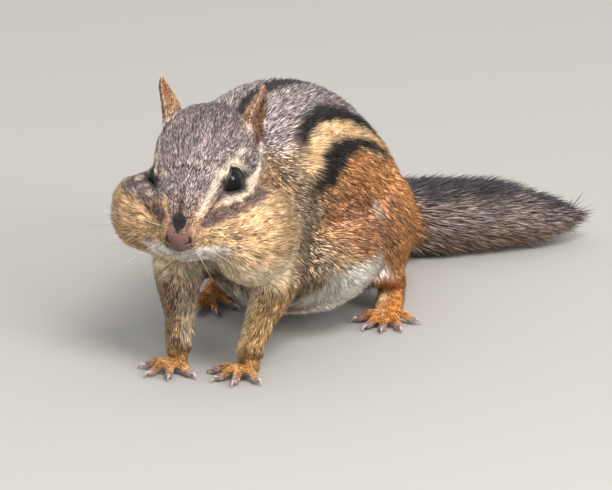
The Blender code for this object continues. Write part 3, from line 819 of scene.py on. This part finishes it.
# round the eye: pale above and below, dark before and behind
aboveEye = ease(10.0, 35.0, eyeRound) * fall(140.0, 165.0, eyeRound)
belowEye = ease(25.0, 55.0, -eyeRound) * fall(150.0, 172.0, -eyeRound)
paint("eyeLine", headPart * band(eyeGap, 0.9, 0.6) * (1 - aboveEye), 0.1)
paint("brow", headPart * band(eyeGap, 1.2, 0.8) * aboveEye, 0.08)
paint("crescent", headPart * band(np.abs(eyeGap - 1.3), 0.45, 0.5) * belowEye, 0.05)
paint("muzzlePink", egg(headAt, (0.0, -15.4, 38.6), (4.2, 3.4, 3.8), 0.9, 0.5) * shares["head"], 0.2)
blazeHalf = np.interp(height, (39.4, 40.6, 41.8, 43.4, 44.8), (-0.6, 0.7, 1.7, 2.0, 0.4))
paint("black", shares["head"] * ease(-0.4, 0.5, blazeHalf - headAt[:, 0]) * (markAt[:, 1] < -9.0), 0.1)

# ears: rust outside, bare and pinkish inside with a pale rim, white at the back of the root
paint("earBack", shares["ears"], 0.45)
cup = np.zeros(len(outer))
for each in (1, -1):
    facing = normals @ unit(np.array((each * 0.97, -0.2, 0.1)))
    here = side == each
    cup[here] = (shares["ears"] * ease(0.1, 0.5, facing))[here]
paint("earInside", cup, 0.15)
# deep in the cup, towards the root, near black: painted shade in the ear's hollow
paint("nostril", cup * fall(53.0, 60.0, height) * 0.6)
paint("earPale", shares["ears"] * band(np.abs(cup - 0.5), 0.3, 0.3) * 0.9, 0.05)
earRoot = nearLine(headFrame(outer), [(12.4, 16.2, 58.0), (12.9, 15.2, 55.0), (12.6, 12.5, 52.4)])
paint("earPale", (shares["ears"] + shares["head"]) * band(earRoot, 1.1, 0.8), 0.05)

# bare skin: nose pad, lips, lids, toes' ends and soles, the cup of the ear
nosePad = shares["head"] * egg(headFrame(outer), (0.0, -15.7, 37.3), (3.0, 2.3, 2.7), 0.95, 0.25)
lidEdge = headPart * band(eyeGap, 0.5, 0.3)
soles = feetPart * ease(0.3, 0.7, -normals[:, 2]) * (outer[:, 2] < 2.5)
toeEnds = feetPart * band(padGap, 1.1, 0.7)
lips = shares["head"] * dentMarks["mouth"]
bare = np.clip(np.maximum.reduce([nosePad, lidEdge, soles, toeEnds, lips, cup * 0.75]), 0.0, 1.0)
paint("nose", nosePad, 0.0)
# the nostrils, the groove down the lip and the crease of the upper lip darkened towards near black: painted
# shade in these hollows
paint("nostril", shares["head"] * np.clip(dentMarks["nostril"] * 1.3, 0, 1))
paint("nostril", shares["head"] * (dentMarks["philtrum"] * 0.4 + dentMarks["upperLip"] * 0.75))
paint("lip", lips, 0.0)
paint("lid", lidEdge, 0.0)
paint("toe", np.maximum(soles, toeEnds), 0.0)

# tail: grey brown, dark along the top, warm below, frosted at the tips
tailTravel, tailSpot, tailHeading = alongLine(outer, tailLine)[:3]
tailUp = unit(outer - tailSpot)[:, 2]
paint("tail", shares["tail"], 0.8)
paint("agouti", shares["tail"] * ease(0.0, 0.7, wobble(outer, 9.0, 7)) * 0.22)
paint("tailDark", shares["tail"] * ease(0.55, 0.92, tailUp + ragged * 0.12) * 0.95, 0.15)
paint("tailLow", shares["tail"] * ease(-0.1, 0.5, -tailUp) * 0.85, 0.35)
paint("rust", shares["tail"] * fall(5.0, 19.0, tailTravel), 0.4)

# how densely the hair stands: none on bare skin, on the lids or under the belly's lowest edge
cover = (1 - bare) * (eyeGap > 0.35)
cover = np.where((outer[:, 2] < 1.0) & (normals[:, 2] < -0.2), 0.0, cover)
# at the tail's very end the hair has no lie of its own, and the hair before it covers it
tailEnd = (shares["tail"] > 0.5) & (tailTravel > 30.0) & ((lie * tailHeading).sum(1) < 0.72)
cover = np.where(tailEnd, 0.0, cover)
print("markings painted")


def addAttribute(mesh, name, kind, values, domain="POINT"):
    attribute = mesh.attributes.new(name, kind, domain)
    key = {"FLOAT": "value", "INT": "value", "FLOAT_VECTOR": "vector", "FLOAT_COLOR": "color"}[kind]
    attribute.data.foreach_set(key, np.ascontiguousarray(values).ravel())


def unwrap(item):
    # the map that the colours are baked on
    for other in bpy.context.selected_objects:
        other.select_set(False)
    bpy.context.view_layer.objects.active = item
    item.select_set(True)
    bpy.ops.object.mode_set(mode="EDIT")
    bpy.ops.mesh.select_all(action="SELECT")
    bpy.ops.uv.smart_project(angle_limit=math.radians(66.0), island_margin=0.002)
    bpy.ops.object.mode_set(mode="OBJECT")
    item.data.uv_layers[0].name = "OFBake"
    item.select_set(False)


# which coat piece each face of the skin grows
zones = ["head", "cheeks", "ears", "neck", "chest", "loin", "rump", "thighs", "legs", "feet", "tail"]
zoneOf = {"shanks": "legs", "forelegs": "legs", "forefeet": "feet", "hindfeet": "feet"}


def addFields(mesh):
    addAttribute(mesh, "pelage", "FLOAT_COLOR", np.column_stack([pelage, np.ones(len(pelage))]))
    addAttribute(mesh, "lie", "FLOAT_VECTOR", lie)
    for name, values in (("grizzle", grizzle), ("bare", bare), ("furLength", furLength * mm),
                         ("furLift", furLift), ("cover", cover)):
        addAttribute(mesh, name, "FLOAT", values)
    strongest = np.argmax(np.array([shares[part] for part in partNodes]), axis=0)
    zoneByPart = np.array([zones.index(zoneOf.get(part, part)) for part in partNodes])
    corner = readMesh(mesh.loops, "vertex_index", 1, np.int32).ravel()
    starts = readMesh(mesh.polygons, "loop_start", 1, np.int32).ravel()
    faceZone = zoneByPart[strongest[corner[starts]]]
    addAttribute(mesh, "zone", "INT", faceZone.astype(np.int32), "FACE")


unwrap(skin)
addFields(skin.data)


# materials
def addNode(tree, kind, settings=None, links=None):
    # one node, its settings by name, and what feeds its sockets: a node's first output in use,
    # another of its outputs, or a plain value; a kind that doesn't say so is a shader's
    made = tree.nodes.new(kind if "Node" in kind else "ShaderNode" + kind)
    for name, value in (settings or {}).items():
        if hasattr(made, name):
            setattr(made, name, value)
        else:
            made.inputs[name].default_value = value
    for name, source in (links or {}).items():
        if isinstance(source, bpy.types.Node):
            source = next(output for output in source.outputs if output.enabled)
        if isinstance(source, bpy.types.NodeSocket):
            tree.links.new(source, made.inputs[name])
        else:
            made.inputs[name].default_value = source
    return made


def setStops(ramp, stops):
    # the greys of a colour ramp: position and brightness
    elements = ramp.color_ramp.elements
    while len(elements) < len(stops):
        elements.new(0.5)
    for element, (position, value) in zip(elements, stops):
        element.position = position
        element.color = (value, value, value, 1.0)
    return ramp


def perMetre(size):
    # how often a pattern of that many mm repeats in a metre
    return 1 / (size * mm)


def newMaterial(name, build, *look):
    # build adds what lies behind the surface, and gives the surface's settings and links
    material = bpy.data.materials.new(name)
    material.use_nodes = True
    material.node_tree.nodes.clear()
    add = partial(addNode, material.node_tree)
    surface = add("BsdfPrincipled", *build(add, *look))
    add("OutputMaterial", {}, {"Surface": surface})
    return material


mix = {"data_type": "RGBA", "blend_type": "MIX"}
multiply = {"data_type": "RGBA", "blend_type": "MULTIPLY"}
times = {"operation": "MULTIPLY"}
plus = {"operation": "ADD"}
minus = {"operation": "SUBTRACT"}


def fur(add, look):
    # keratin with a soft gloss; each hair is darker towards its root as painted shade of the coat over it,
    # and where the coat is grizzled it has a pale band below a dark tip, with a few hairs dark all along
    pelageTone = add("Attribute", {"attribute_name": "pelage"})
    along, shade, clump, speckle = [add("Attribute", {"attribute_name": name}).outputs["Fac"]
                                    for name in ("along", "shade", "tone", "grizzle")]
    other = add("Math", {"operation": "FRACT"}, {0: add("Math", times, {0: shade, 1: 7.31})})
    shift = add("Math", times, {0: add("Math", minus, {0: other, 1: 0.5}), 1: look["bandShift"]})
    shifted = add("Math", plus, {0: along, 1: shift})
    # darker at the root: painted shade of the coat that lies over it
    rootToTip = setStops(add("ValToRGB", {}, {0: along}), [(0.0, look["root"]), (0.4, 0.8), (0.75, 1.08)])
    plain = add("Mix", multiply, {0: 1.0, 6: pelageTone, 7: rootToTip})
    paleBand = setStops(add("ValToRGB", {}, {0: shifted}),
                        [(0.35, 0.0), (0.52, 1.0), (0.78, 1.0), (0.95, 0.0)])
    pale = add("Mix", mix, {0: look["bandMix"], 6: pelageTone, 7: rgba(look["bandTone"])})
    pale = add("Mix", multiply, {0: 1.0, 6: pale, 7: (look["bandGain"],) * 3 + (1.0,)})
    dark = add("Mix", multiply, {0: 1.0, 6: pelageTone, 7: (look["darkGain"],) * 3 + (1.0,)})
    dark = add("Mix", mix, {0: look["darkMix"], 6: dark, 7: rgba(look["darkTone"])})
    banded = add("Mix", mix, {0: paleBand, 6: dark, 7: pale})
    colour = add("Mix", mix, {0: speckle, 6: plain, 7: banded})
    few = add("Math", times, {0: speckle, 1: look["darkShare"]})
    darkHair = add("Math", {"operation": "LESS_THAN"}, {0: shade, 1: few})
    darkHair = add("Math", times, {0: darkHair, 1: look["darkHold"]})
    colour = add("Mix", mix, {0: darkHair, 6: colour, 7: rgba(look["darkTone"])})
    for source, swing in ((other, look["hairSwing"]), (clump, look["clumpSwing"])):
        light = add("MapRange", swing, {"Value": source})
        colour = add("Mix", multiply, {0: 1.0, 6: colour, 7: light})
    return ({"Roughness": look["roughness"], "IOR": 1.55, "Specular IOR Level": look["gloss"]},
            {"Base Color": colour})


def thinSkin(add, look):
    # matt, and darkened where the coat covers it as painted shade of the coat; fine grained and faintly moist
    # where bare
    pelageTone = add("Attribute", {"attribute_name": "pelage"})
    bareShare = add("Attribute", {"attribute_name": "bare"}).outputs["Fac"]
    place = add("TexCoord").outputs["Object"]
    grain = add("TexNoise", {"Scale": perMetre(look["grain"]), "Detail": 3.0}, {"Vector": place})
    pores = add("TexVoronoi", {"Scale": perMetre(look["pores"])}, {"Vector": place})
    tints = []
    for low, high in (look["covered"], look["bare"]):
        light = setStops(add("ValToRGB", {}, {0: grain}), [(0.3, low), (0.7, high)])
        tints.append(add("Mix", multiply, {0: 1.0, 6: pelageTone, 7: light}))
    colour = add("Mix", mix, {0: bareShare, 6: tints[0], 7: tints[1]})
    rough = add("MapRange", {"To Min": look["dry"], "To Max": look["moist"]}, {"Value": bareShare})
    uneven = add("Math", plus, {0: grain, 1: pores})
    relief = add("Bump", {"Strength": 0.6, "Distance": look["relief"] * mm}, {"Height": uneven})
    return {"IOR": 1.4}, {"Base Color": colour, "Roughness": rough, "Normal": relief}


def wetEye(add, look):
    # wet cornea over an iris so dark that it looks black, a touch browner in patches
    place = add("TexCoord").outputs["Object"]
    tint = add("TexNoise", {"Scale": perMetre(look["patch"]), "Detail": 2.0}, {"Vector": place})
    colour = add("Mix", mix, {0: tint, 6: rgba(look["dark"]), 7: rgba(look["brown"])})
    return {"Roughness": look["roughness"], "IOR": 1.376, "Specular IOR Level": 0.35}, {"Base Color": colour}


def horn(add, look):
    # claw and whisker: keratin, streaked and with a dull shine
    place = add("TexCoord").outputs["Object"]
    streak = add("TexNoise", {"Scale": perMetre(look["streak"]), "Detail": 2.0}, {"Vector": place})
    share = setStops(add("ValToRGB", {}, {0: streak}), [(0.35, 0.0), (0.65, 1.0)])
    colour = add("Mix", mix, {0: share, 6: rgba(look["dark"]), 7: rgba(look["light"])})
    relief = add("Bump", {"Strength": 0.3, "Distance": look["relief"] * mm}, {"Height": streak})
    return {"Roughness": look["roughness"], "IOR": 1.54}, {"Base Color": colour, "Normal": relief}


def paintedBoard(add):
    # matt and even, so that nothing of the animal mirrors in it
    return {"Roughness": 0.85, "Specular IOR Level": 0.3}, {"Base Color": rgba("#92908C")}


bodyLook = {
    # a hair's root is darkened as painted shade of the coat that lies over it
    "root": 0.55,           # brightness of a hair at its root
    # the pale band: its tone, that tone's share, its brightness, and how much of a hair's length
    # it moves from hair to hair
    "bandTone": "#F0E0CE", "bandMix": 0.3, "bandGain": 1.5, "bandShift": 0.3,
    # the dark parts likewise; then how many hairs are dark all along, and how dark they are
    "darkTone": "#241F22", "darkMix": 0.6, "darkGain": 0.42, "darkShare": 0.42, "darkHold": 0.75,
    # brightness from hair to hair and from clump to clump
    "hairSwing": {"To Min": 0.75, "To Max": 1.35},
    "clumpSwing": {"From Min": 0.32, "From Max": 0.68, "To Min": 0.55, "To Max": 1.3},
    "roughness": 0.6, "gloss": 0.22,
}
furLook = newMaterial("agoutiFur", fur, bodyLook)
tailLook = newMaterial("tailFur", fur, dict(bodyLook, bandTone="#C8BAB4", bandGain=1.3, darkShare=0.2))
# sizes of patterns and depths of relief are in mm
darkEye = {"dark": "#030304", "brown": "#0C0807", "patch": 1.111, "roughness": 0.04}
clawHorn = {"dark": "#6E5E5C", "light": "#AA9A9A", "roughness": 0.36, "streak": 0.6667, "relief": 0.03}
paleHair = dict(clawHorn, dark="#C8BFB4", light="#F2ECE4", roughness=0.4, streak=1.4286)
darkHair = dict(paleHair, dark="#1E1A1A", light="#4A403C")
hide = {
    # the skin under the coat is kept dark as painted shade of the coat over it
    "covered": (0.3, 0.7),  # brightness of the grain under the coat
    "bare": (0.8, 1.1),
    "dry": 0.85,            # roughness there, and where it is bare and moist
    "moist": 0.46,
    "grain": 0.3846,
    "pores": 0.2778,        # coarser than real ones
    "relief": 0.08,
}
eyeLook = newMaterial("wetEye", wetEye, darkEye)
clawLook = newMaterial("clawHorn", horn, clawHorn)
paleWhiskerLook = newMaterial("paleWhisker", horn, paleHair)
darkWhiskerLook = newMaterial("darkWhisker", horn, darkHair)
skin.data.materials.clear()
skin.data.materials.append(newMaterial("chipmunkSkin", thinSkin, hide))
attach(skin, "root")
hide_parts(*fleshNodes)


# locks of fur: thin closed spindles and spikes that lie along the skin
def lockMesh(name, rings):
    # a ring is its share of the length, its lift, half width and half thickness in lock widths
    verts, faces, along, patch = [], [], [], []
    if len(rings) > 1 or rings[0][0] > 0:
        verts, along, patch = [(0.0, -0.04, -0.6)], [0.0], [(0.5, 0.0)]
    first = len(verts)
    for share, lift, half, thick in rings:
        for index, degrees in enumerate((90.0, 210.0, 330.0)):
            angle = math.radians(degrees)
            verts.append((half * math.cos(angle), share, lift + thick * math.sin(angle)))
            along.append(share)
            patch.append((index / 2, share))
    verts.append((0.0, 1.0, rings[-1][1] * 0.35))
    along.append(1.0)
    patch.append((0.5, 1.0))
    if not first:
        faces.append((0, 2, 1))
    for index in range(3):
        after = (index + 1) % 3
        if first:
            faces.append((0, 1 + after, 1 + index))
        for ring in range(len(rings) - 1):
            low, high = first + 3 * ring, first + 3 + 3 * ring
            faces.append((low + index, low + after, high + after))
            faces.append((low + index, high + after, high + index))
        last = first + 3 * (len(rings) - 1)
        faces.append((last + index, last + after, len(verts) - 1))
    mesh = bpy.data.meshes.new(name)
    mesh.from_pydata(verts, [], faces)
    solid = bmesh.new()
    solid.from_mesh(mesh)
    bmesh.ops.recalc_face_normals(solid, faces=solid.faces)
    solid.to_mesh(mesh)
    solid.free()
    addAttribute(mesh, "along", "FLOAT", np.array(along))
    addAttribute(mesh, "patch", "FLOAT_VECTOR", np.array([(u, v, 0.0) for u, v in patch]))
    mesh.shade_smooth()
    return newObject(name, mesh)


spike = lockMesh("spike", [(0.0, 0.0, 0.7, 0.5)])
spindle = lockMesh("spindle", [(0.36, 0.45, 0.5, 0.4)])
longLock = lockMesh("longLock", [(0.25, 0.3, 0.46, 0.4), (0.62, 0.5, 0.4, 0.34)])


lockSettings = {
    "clumpSize": 100 / 42,  # mm: 42 clumps of locks that lean together in 10 cm
    "patchSize": 100 / 65,  # mm: 65 lighter or darker patches in 10 cm
    "densest": 9.0e7,       # locks to a square metre, more than the spacing lets through
    "liftSpread": (0.55, 1.4),      # from lock to lock, times what the coat has there
    "lengthSpread": (0.72, 1.18),
    "widthSpread": (0.7, 1.25),
    "bakePatch": 0.003,     # of the map, for each lock
    "floorGap": 0.05,       # mm
}


def coatTree(settings):
    tree = bpy.data.node_groups.new("coatOfLocks", "GeometryNodeTree")
    add = partial(addNode, tree)
    for name, kind in (("Geometry", "Geometry"), ("Zone", "Int"), ("Spacing", "Float"), ("Width", "Float"),
                       ("Splay", "Float"), ("Clump", "Float"), ("Lock", "Object"), ("Fur", "Material"),
                       ("Seed", "Int")):
        tree.interface.new_socket(name, in_out="INPUT", socket_type="NodeSocket" + kind)
    tree.interface.new_socket("Geometry", in_out="OUTPUT", socket_type="NodeSocketGeometry")
    given = add("NodeGroupInput").outputs
    field = {}
    for name, kind in (("zone", "INT"), ("cover", "FLOAT"), ("furLift", "FLOAT"), ("furLength", "FLOAT"),
                       ("lie", "FLOAT_VECTOR"), ("patch", "FLOAT_VECTOR"), ("OFBake", "FLOAT_VECTOR")):
        field[name] = add("GeometryNodeInputNamedAttribute", {"data_type": kind, "Name": name})
    chance = {}
    for name, spread, seed in (("lift", settings["liftSpread"], 5), ("length", settings["lengthSpread"], 7),
                               ("width", settings["widthSpread"], 9), ("shade", (0.0, 1.0), 11)):
        chance[name] = add("FunctionNodeRandomValue", {"data_type": "FLOAT", "Seed": seed},
                           {2: spread[0], 3: spread[1]})
    scaled, keeper = {"operation": "SCALE"}, "GeometryNodeStoreNamedAttribute"

    other = add("FunctionNodeCompare", {"data_type": "INT", "operation": "NOT_EQUAL"},
                {2: field["zone"], 3: given["Zone"]})
    region = add("GeometryNodeDeleteGeometry", {"domain": "FACE"},
                 {"Geometry": given["Geometry"], "Selection": other})
    scatter = add("GeometryNodeDistributePointsOnFaces", {"distribute_method": "POISSON"},
                  {"Mesh": region, "Distance Min": given["Spacing"], "Density Max": settings["densest"],
                   "Density Factor": field["cover"], "Seed": given["Seed"]})
    normal = scatter.outputs["Normal"]
    place = add("GeometryNodeInputPosition")
    # neighbouring locks lean together, and each strays a little on its own
    clump = add("TexNoise", {"Scale": perMetre(settings["clumpSize"]), "Detail": 1.0}, {"Vector": place})
    lean = add("VectorMath", minus, {0: clump.outputs["Color"], 1: (0.5, 0.5, 0.5)})
    lean = add("VectorMath", scaled, {0: lean, "Scale": given["Clump"]})
    stray = add("FunctionNodeRandomValue", {"data_type": "FLOAT_VECTOR", "Seed": 3},
                {0: (-1, -1, -1), 1: (1, 1, 1)})
    stray = add("VectorMath", scaled, {0: stray, "Scale": given["Splay"]})
    lean = add("VectorMath", plus, {0: lean, 1: stray})
    flat = add("VectorMath", plus, {0: field["lie"], 1: lean})
    into = add("VectorMath", {"operation": "DOT_PRODUCT"}, {0: flat, 1: normal})
    into = add("VectorMath", scaled, {0: normal, "Scale": into})
    flat = add("VectorMath", minus, {0: flat, 1: into})
    flat = add("VectorMath", {"operation": "NORMALIZE"}, {0: flat})
    tilt = add("Math", times, {0: field["furLift"], 1: chance["lift"]})
    tilt = add("Math", {"operation": "TANGENT"}, {0: tilt})
    rise = add("VectorMath", scaled, {0: normal, "Scale": tilt})
    way = add("VectorMath", plus, {0: flat, 1: rise})
    turned = add("FunctionNodeAxesToRotation", {"primary_axis": "Y", "secondary_axis": "Z"},
                 {"Primary Axis": way, "Secondary Axis": normal})
    long = add("Math", times, {0: field["furLength"], 1: chance["length"]})
    broad = add("Math", times, {0: given["Width"], 1: chance["width"]})
    size = add("CombineXYZ", {}, {"X": broad, "Y": long, "Z": broad})
    patches = add("TexNoise", {"Scale": perMetre(settings["patchSize"]), "Detail": 2.0}, {"Vector": place})
    marked = scatter
    for name, value in (("shade", chance["shade"]), ("tone", patches)):
        marked = add(keeper, {"data_type": "FLOAT", "domain": "POINT", "Name": name},
                     {"Geometry": marked, "Value": value})
    lock = add("GeometryNodeObjectInfo", {"transform_space": "ORIGINAL"}, {"Object": given["Lock"]})
    copies = add("GeometryNodeInstanceOnPoints", {},
                 {"Points": marked, "Instance": lock.outputs["Geometry"], "Rotation": turned, "Scale": size})
    whole = add("GeometryNodeRealizeInstances", {}, {"Geometry": copies})
    # the floor stops the lowest hairs, and a twentieth of what would go through keeps them apart
    spot = add("SeparateXYZ", {}, {"Vector": place}).outputs
    held = add("Math", {"operation": "MULTIPLY_ADD"}, {0: spot["Z"], 1: 0.05, 2: settings["floorGap"] * mm})
    held = add("Math", {"operation": "MAXIMUM"}, {0: spot["Z"], 1: held})
    held = add("CombineXYZ", {}, {"X": spot["X"], "Y": spot["Y"], "Z": held})
    whole = add("GeometryNodeSetPosition", {}, {"Geometry": whole, "Position": held})
    # each lock has its own small patch of the map, round the place where it grows
    patch = add("VectorMath", scaled, {0: field["patch"], "Scale": settings["bakePatch"]})
    patch = add("VectorMath", plus, {0: field["OFBake"], 1: patch})
    last = add(keeper, {"data_type": "FLOAT2", "domain": "CORNER", "Name": "OFBake"},
               {"Geometry": whole, "Value": patch})
    for name in ("lie", "furLength", "furLift", "cover", "patch", "bare", "zone"):
        last = add("GeometryNodeRemoveAttribute", {"Name": name}, {"Geometry": last})
    dressed = add("GeometryNodeSetMaterial", {}, {"Geometry": last, "Material": given["Fur"]})
    add("NodeGroupOutput", {}, {"Geometry": dressed})
    return tree


locksTree = coatTree(lockSettings)
# mm between roots, mm wide, splay, clumping, then the lock, its look and the finish it stands for
coatPieces = {
    "head": (0.155, 0.21, 0.10, 0.7, spike, furLook, "agouti_fur"),
    "cheeks": (0.165, 0.25, 0.12, 1.1, spike, furLook, "ochre_fur"),
    "ears": (0.15, 0.17, 0.12, 0.6, spike, furLook, "ear_skin"),
    "neck": (0.20, 0.27, 0.14, 1.0, spindle, furLook, "agouti_fur"),
    "chest": (0.235, 0.29, 0.14, 1.1, spindle, furLook, "agouti_fur"),
    "loin": (0.225, 0.28, 0.12, 0.9, spindle, furLook, "striped_fur"),
    "rump": (0.225, 0.28, 0.12, 1.0, spindle, furLook, "striped_fur"),
    "thighs": (0.225, 0.28, 0.12, 1.0, spindle, furLook, "striped_fur"),
    "legs": (0.185, 0.25, 0.12, 1.0, spike, furLook, "ochre_fur"),
    "feet": (0.16, 0.18, 0.12, 0.7, spike, furLook, "ochre_fur"),
    "tail": (0.26, 0.27, 0.16, 1.0, longLock, tailLook, "tail_fur"),
}


def growCoat(zone, spacing, width, splay, clump, lock, look):
    carrier = newObject("coat" + zone.capitalize(), skin.data)
    modifier = carrier.modifiers.new("locks", "NODES")
    modifier.node_group = locksTree
    number = zones.index(zone)
    values = {"Zone": number, "Spacing": spacing * mm, "Width": width * mm, "Splay": splay,
              "Clump": clump, "Lock": lock, "Fur": look, "Seed": number + 1}
    for socket in locksTree.interface.items_tree:
        if socket.name in values:
            modifier[socket.identifier] = values[socket.name]
    applyModifiers(carrier)
    return carrier


total = 0
for zone, (spacing, width, splay, clump, lock, look, finish) in coatPieces.items():
    piece = growCoat(zone, spacing, width, splay, clump, lock, look)
    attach(piece, "root")
    total += len(piece.data.polygons)
    print(piece.name, len(piece.data.polygons), "triangles")
print("coat", total, "triangles")
for lock in (spike, spindle, longLock):
    bpy.data.objects.remove(lock)


# eyes, claws and whiskers
def makeBall(name, side):
    ball = bmesh.new()
    bmesh.ops.create_uvsphere(ball, u_segments=56, v_segments=36, radius=eye["radius"] * mm)
    bmesh.ops.translate(ball, verts=ball.verts, vec=Vector(toFrame(eyeCentre[side])))
    return finishPiece(name, ball, eyeLook)


def finishPiece(name, shape, look):
    mesh = bpy.data.meshes.new(name)
    shape.to_mesh(mesh)
    shape.free()
    mesh.shade_smooth()
    mesh.materials.append(look)
    piece = newObject(name, mesh)
    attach(piece, "root")
    return piece


for each, word in sides:
    eyeball = makeBall("eye" + word.capitalize(), each)
    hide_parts("eye_" + word)
    for kind, foot in feet.items():
        shape = bmesh.new()
        for angle, reach in foot["toes"]:
            addTube(shape, toeStations(foot, each, angle, reach)[1], sides=10)
        claws = finishPiece(kind + "Claws" + word.capitalize(), shape, clawLook)
        nodes = [f"{kind}foot_{word}_claw_{index}" for index in range(1, len(foot["toes"]) + 1)]
        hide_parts(*nodes)

# a whisker: its root in the head's frame, length in mm, then how much it points out, back and up
whiskers = {
    "dark": [(4.6, -11.6, 38.6, 21, 0.95, 0.10, 0.02), (4.9, -10.9, 39.6, 19, 0.93, 0.30, 0.14),
             (4.2, -12.4, 37.6, 17, 0.95, -0.05, -0.14)],
    "pale": [(4.8, -11.2, 37.8, 20, 0.93, 0.18, -0.10), (4.4, -12.0, 39.9, 17, 0.90, 0.10, 0.26),
             (4.9, -10.6, 38.8, 18, 0.88, 0.45, 0.04), (4.0, -12.6, 36.9, 14, 0.86, 0.00, -0.42),
             (3.4, -12.9, 35.4, 9, 0.55, 0.05, -0.85)],
}
# radii in mm; then how far the tip sinks and swings back, as a share of the length
whiskerShape = {"rootRadius": 0.038, "tipRadius": 0.01, "droop": 0.14, "sideways": 0.12}


def makeWhiskers(name, rows, look):
    shape = bmesh.new()
    rng = np.random.default_rng(5)
    for each in (1, -1):
        for x, y, z, length, out, back, up in rows:
            root = np.array((headMiddle(y) + each * x, y, z))
            direction = unit(np.array((each * out, back, up)) + rng.normal(0.0, 0.05, 3))
            grown = length * rng.uniform(0.85, 1.05)
            stations = []
            for t in (0.0, 0.35, 0.7, 1.0):
                bend = np.array((0.0, whiskerShape["sideways"], -whiskerShape["droop"])) * grown * t * t
                radius = whiskerShape["rootRadius"] * (1 - t) + whiskerShape["tipRadius"] * t
                stations.append((*(root + direction * grown * t + bend), radius, radius))
            addTube(shape, stations, sides=5, domes=(60.0,))
    whisker = finishPiece(name, shape, look)


makeWhiskers("whiskersDark", whiskers["dark"], darkWhiskerLook)
makeWhiskers("whiskersPale", whiskers["pale"], paleWhiskerLook)
print("eyes, claws and whiskers made")

# studio: a long lens, a pale floor, a large soft lamp and a weak low one in a bright room
studio = {
    "aim": (0.0031, -0.0387, 0.0292),   # m
    "azimuth": 17.0,                    # degrees round to the animal's left
    "rise": 18.0,                       # degrees
    "away": 2.0,                        # m
    "lens": 505.9,                      # mm
    "sensor": 36.0,                     # mm
    "roomColour": (0.97, 0.975, 0.98, 1.0),
    "roomStrength": 1.25,
    "keyPlace": (0.42, -0.62, 0.98),    # m
    "keySize": 0.5,                     # m
    "keyPower": 18.5,                   # W
    "keyColour": (1.0, 0.965, 0.91),
    "fillPlace": (0.72, -0.42, 0.46),   # m, lower, so that the flank and legs aren't lost
    "fillSize": 0.32,                   # m
    "fillPower": 5.2,                   # W
    "fillColour": (1.0, 0.97, 0.93),
    "floorHalf": 3.0,                   # m
}
camera = bpy.data.objects.new("camera", bpy.data.cameras.new("camera"))
bpy.context.scene.collection.objects.link(camera)
aim = Vector(studio["aim"])
azimuth, rise = math.radians(studio["azimuth"]), math.radians(studio["rise"])
camera.location = aim + studio["away"] * Vector((math.sin(azimuth) * math.cos(rise),
                                                 -math.cos(azimuth) * math.cos(rise), math.sin(rise)))
camera.rotation_euler = (aim - camera.location).to_track_quat("-Z", "Y").to_euler()
camera.data.lens = studio["lens"]
camera.data.sensor_width = studio["sensor"]
camera.data.clip_start, camera.data.clip_end = 0.1, 20.0
bpy.context.scene.camera = camera
world = bpy.data.worlds.new("softRoom")
world.use_nodes = True
world.node_tree.nodes["Background"].inputs["Color"].default_value = studio["roomColour"]
world.node_tree.nodes["Background"].inputs["Strength"].default_value = studio["roomStrength"]
bpy.context.scene.world = world
bpy.context.scene.view_settings.view_transform = "Standard"
for part in ("key", "fill"):
    lamp = bpy.data.objects.new(part + "Lamp", bpy.data.lights.new(part + "Lamp", "AREA"))
    lamp.data.size = studio[part + "Size"]
    lamp.data.energy = studio[part + "Power"]
    lamp.data.color = studio[part + "Colour"]
    lamp.location = Vector(studio[part + "Place"])
    lamp.rotation_euler = (aim - lamp.location).to_track_quat("-Z", "Y").to_euler()
    bpy.context.scene.collection.objects.link(lamp)

floorMesh = bpy.data.meshes.new("floor")
half = studio["floorHalf"]
floorMesh.from_pydata([(-half, -half, 0), (half, -half, 0), (half, half, 0), (-half, half, 0)], [],
                      [(0, 1, 2, 3)])
floor = newObject("floor", floorMesh)
floorMesh.materials.append(newMaterial("paleFloor", paintedBoard))
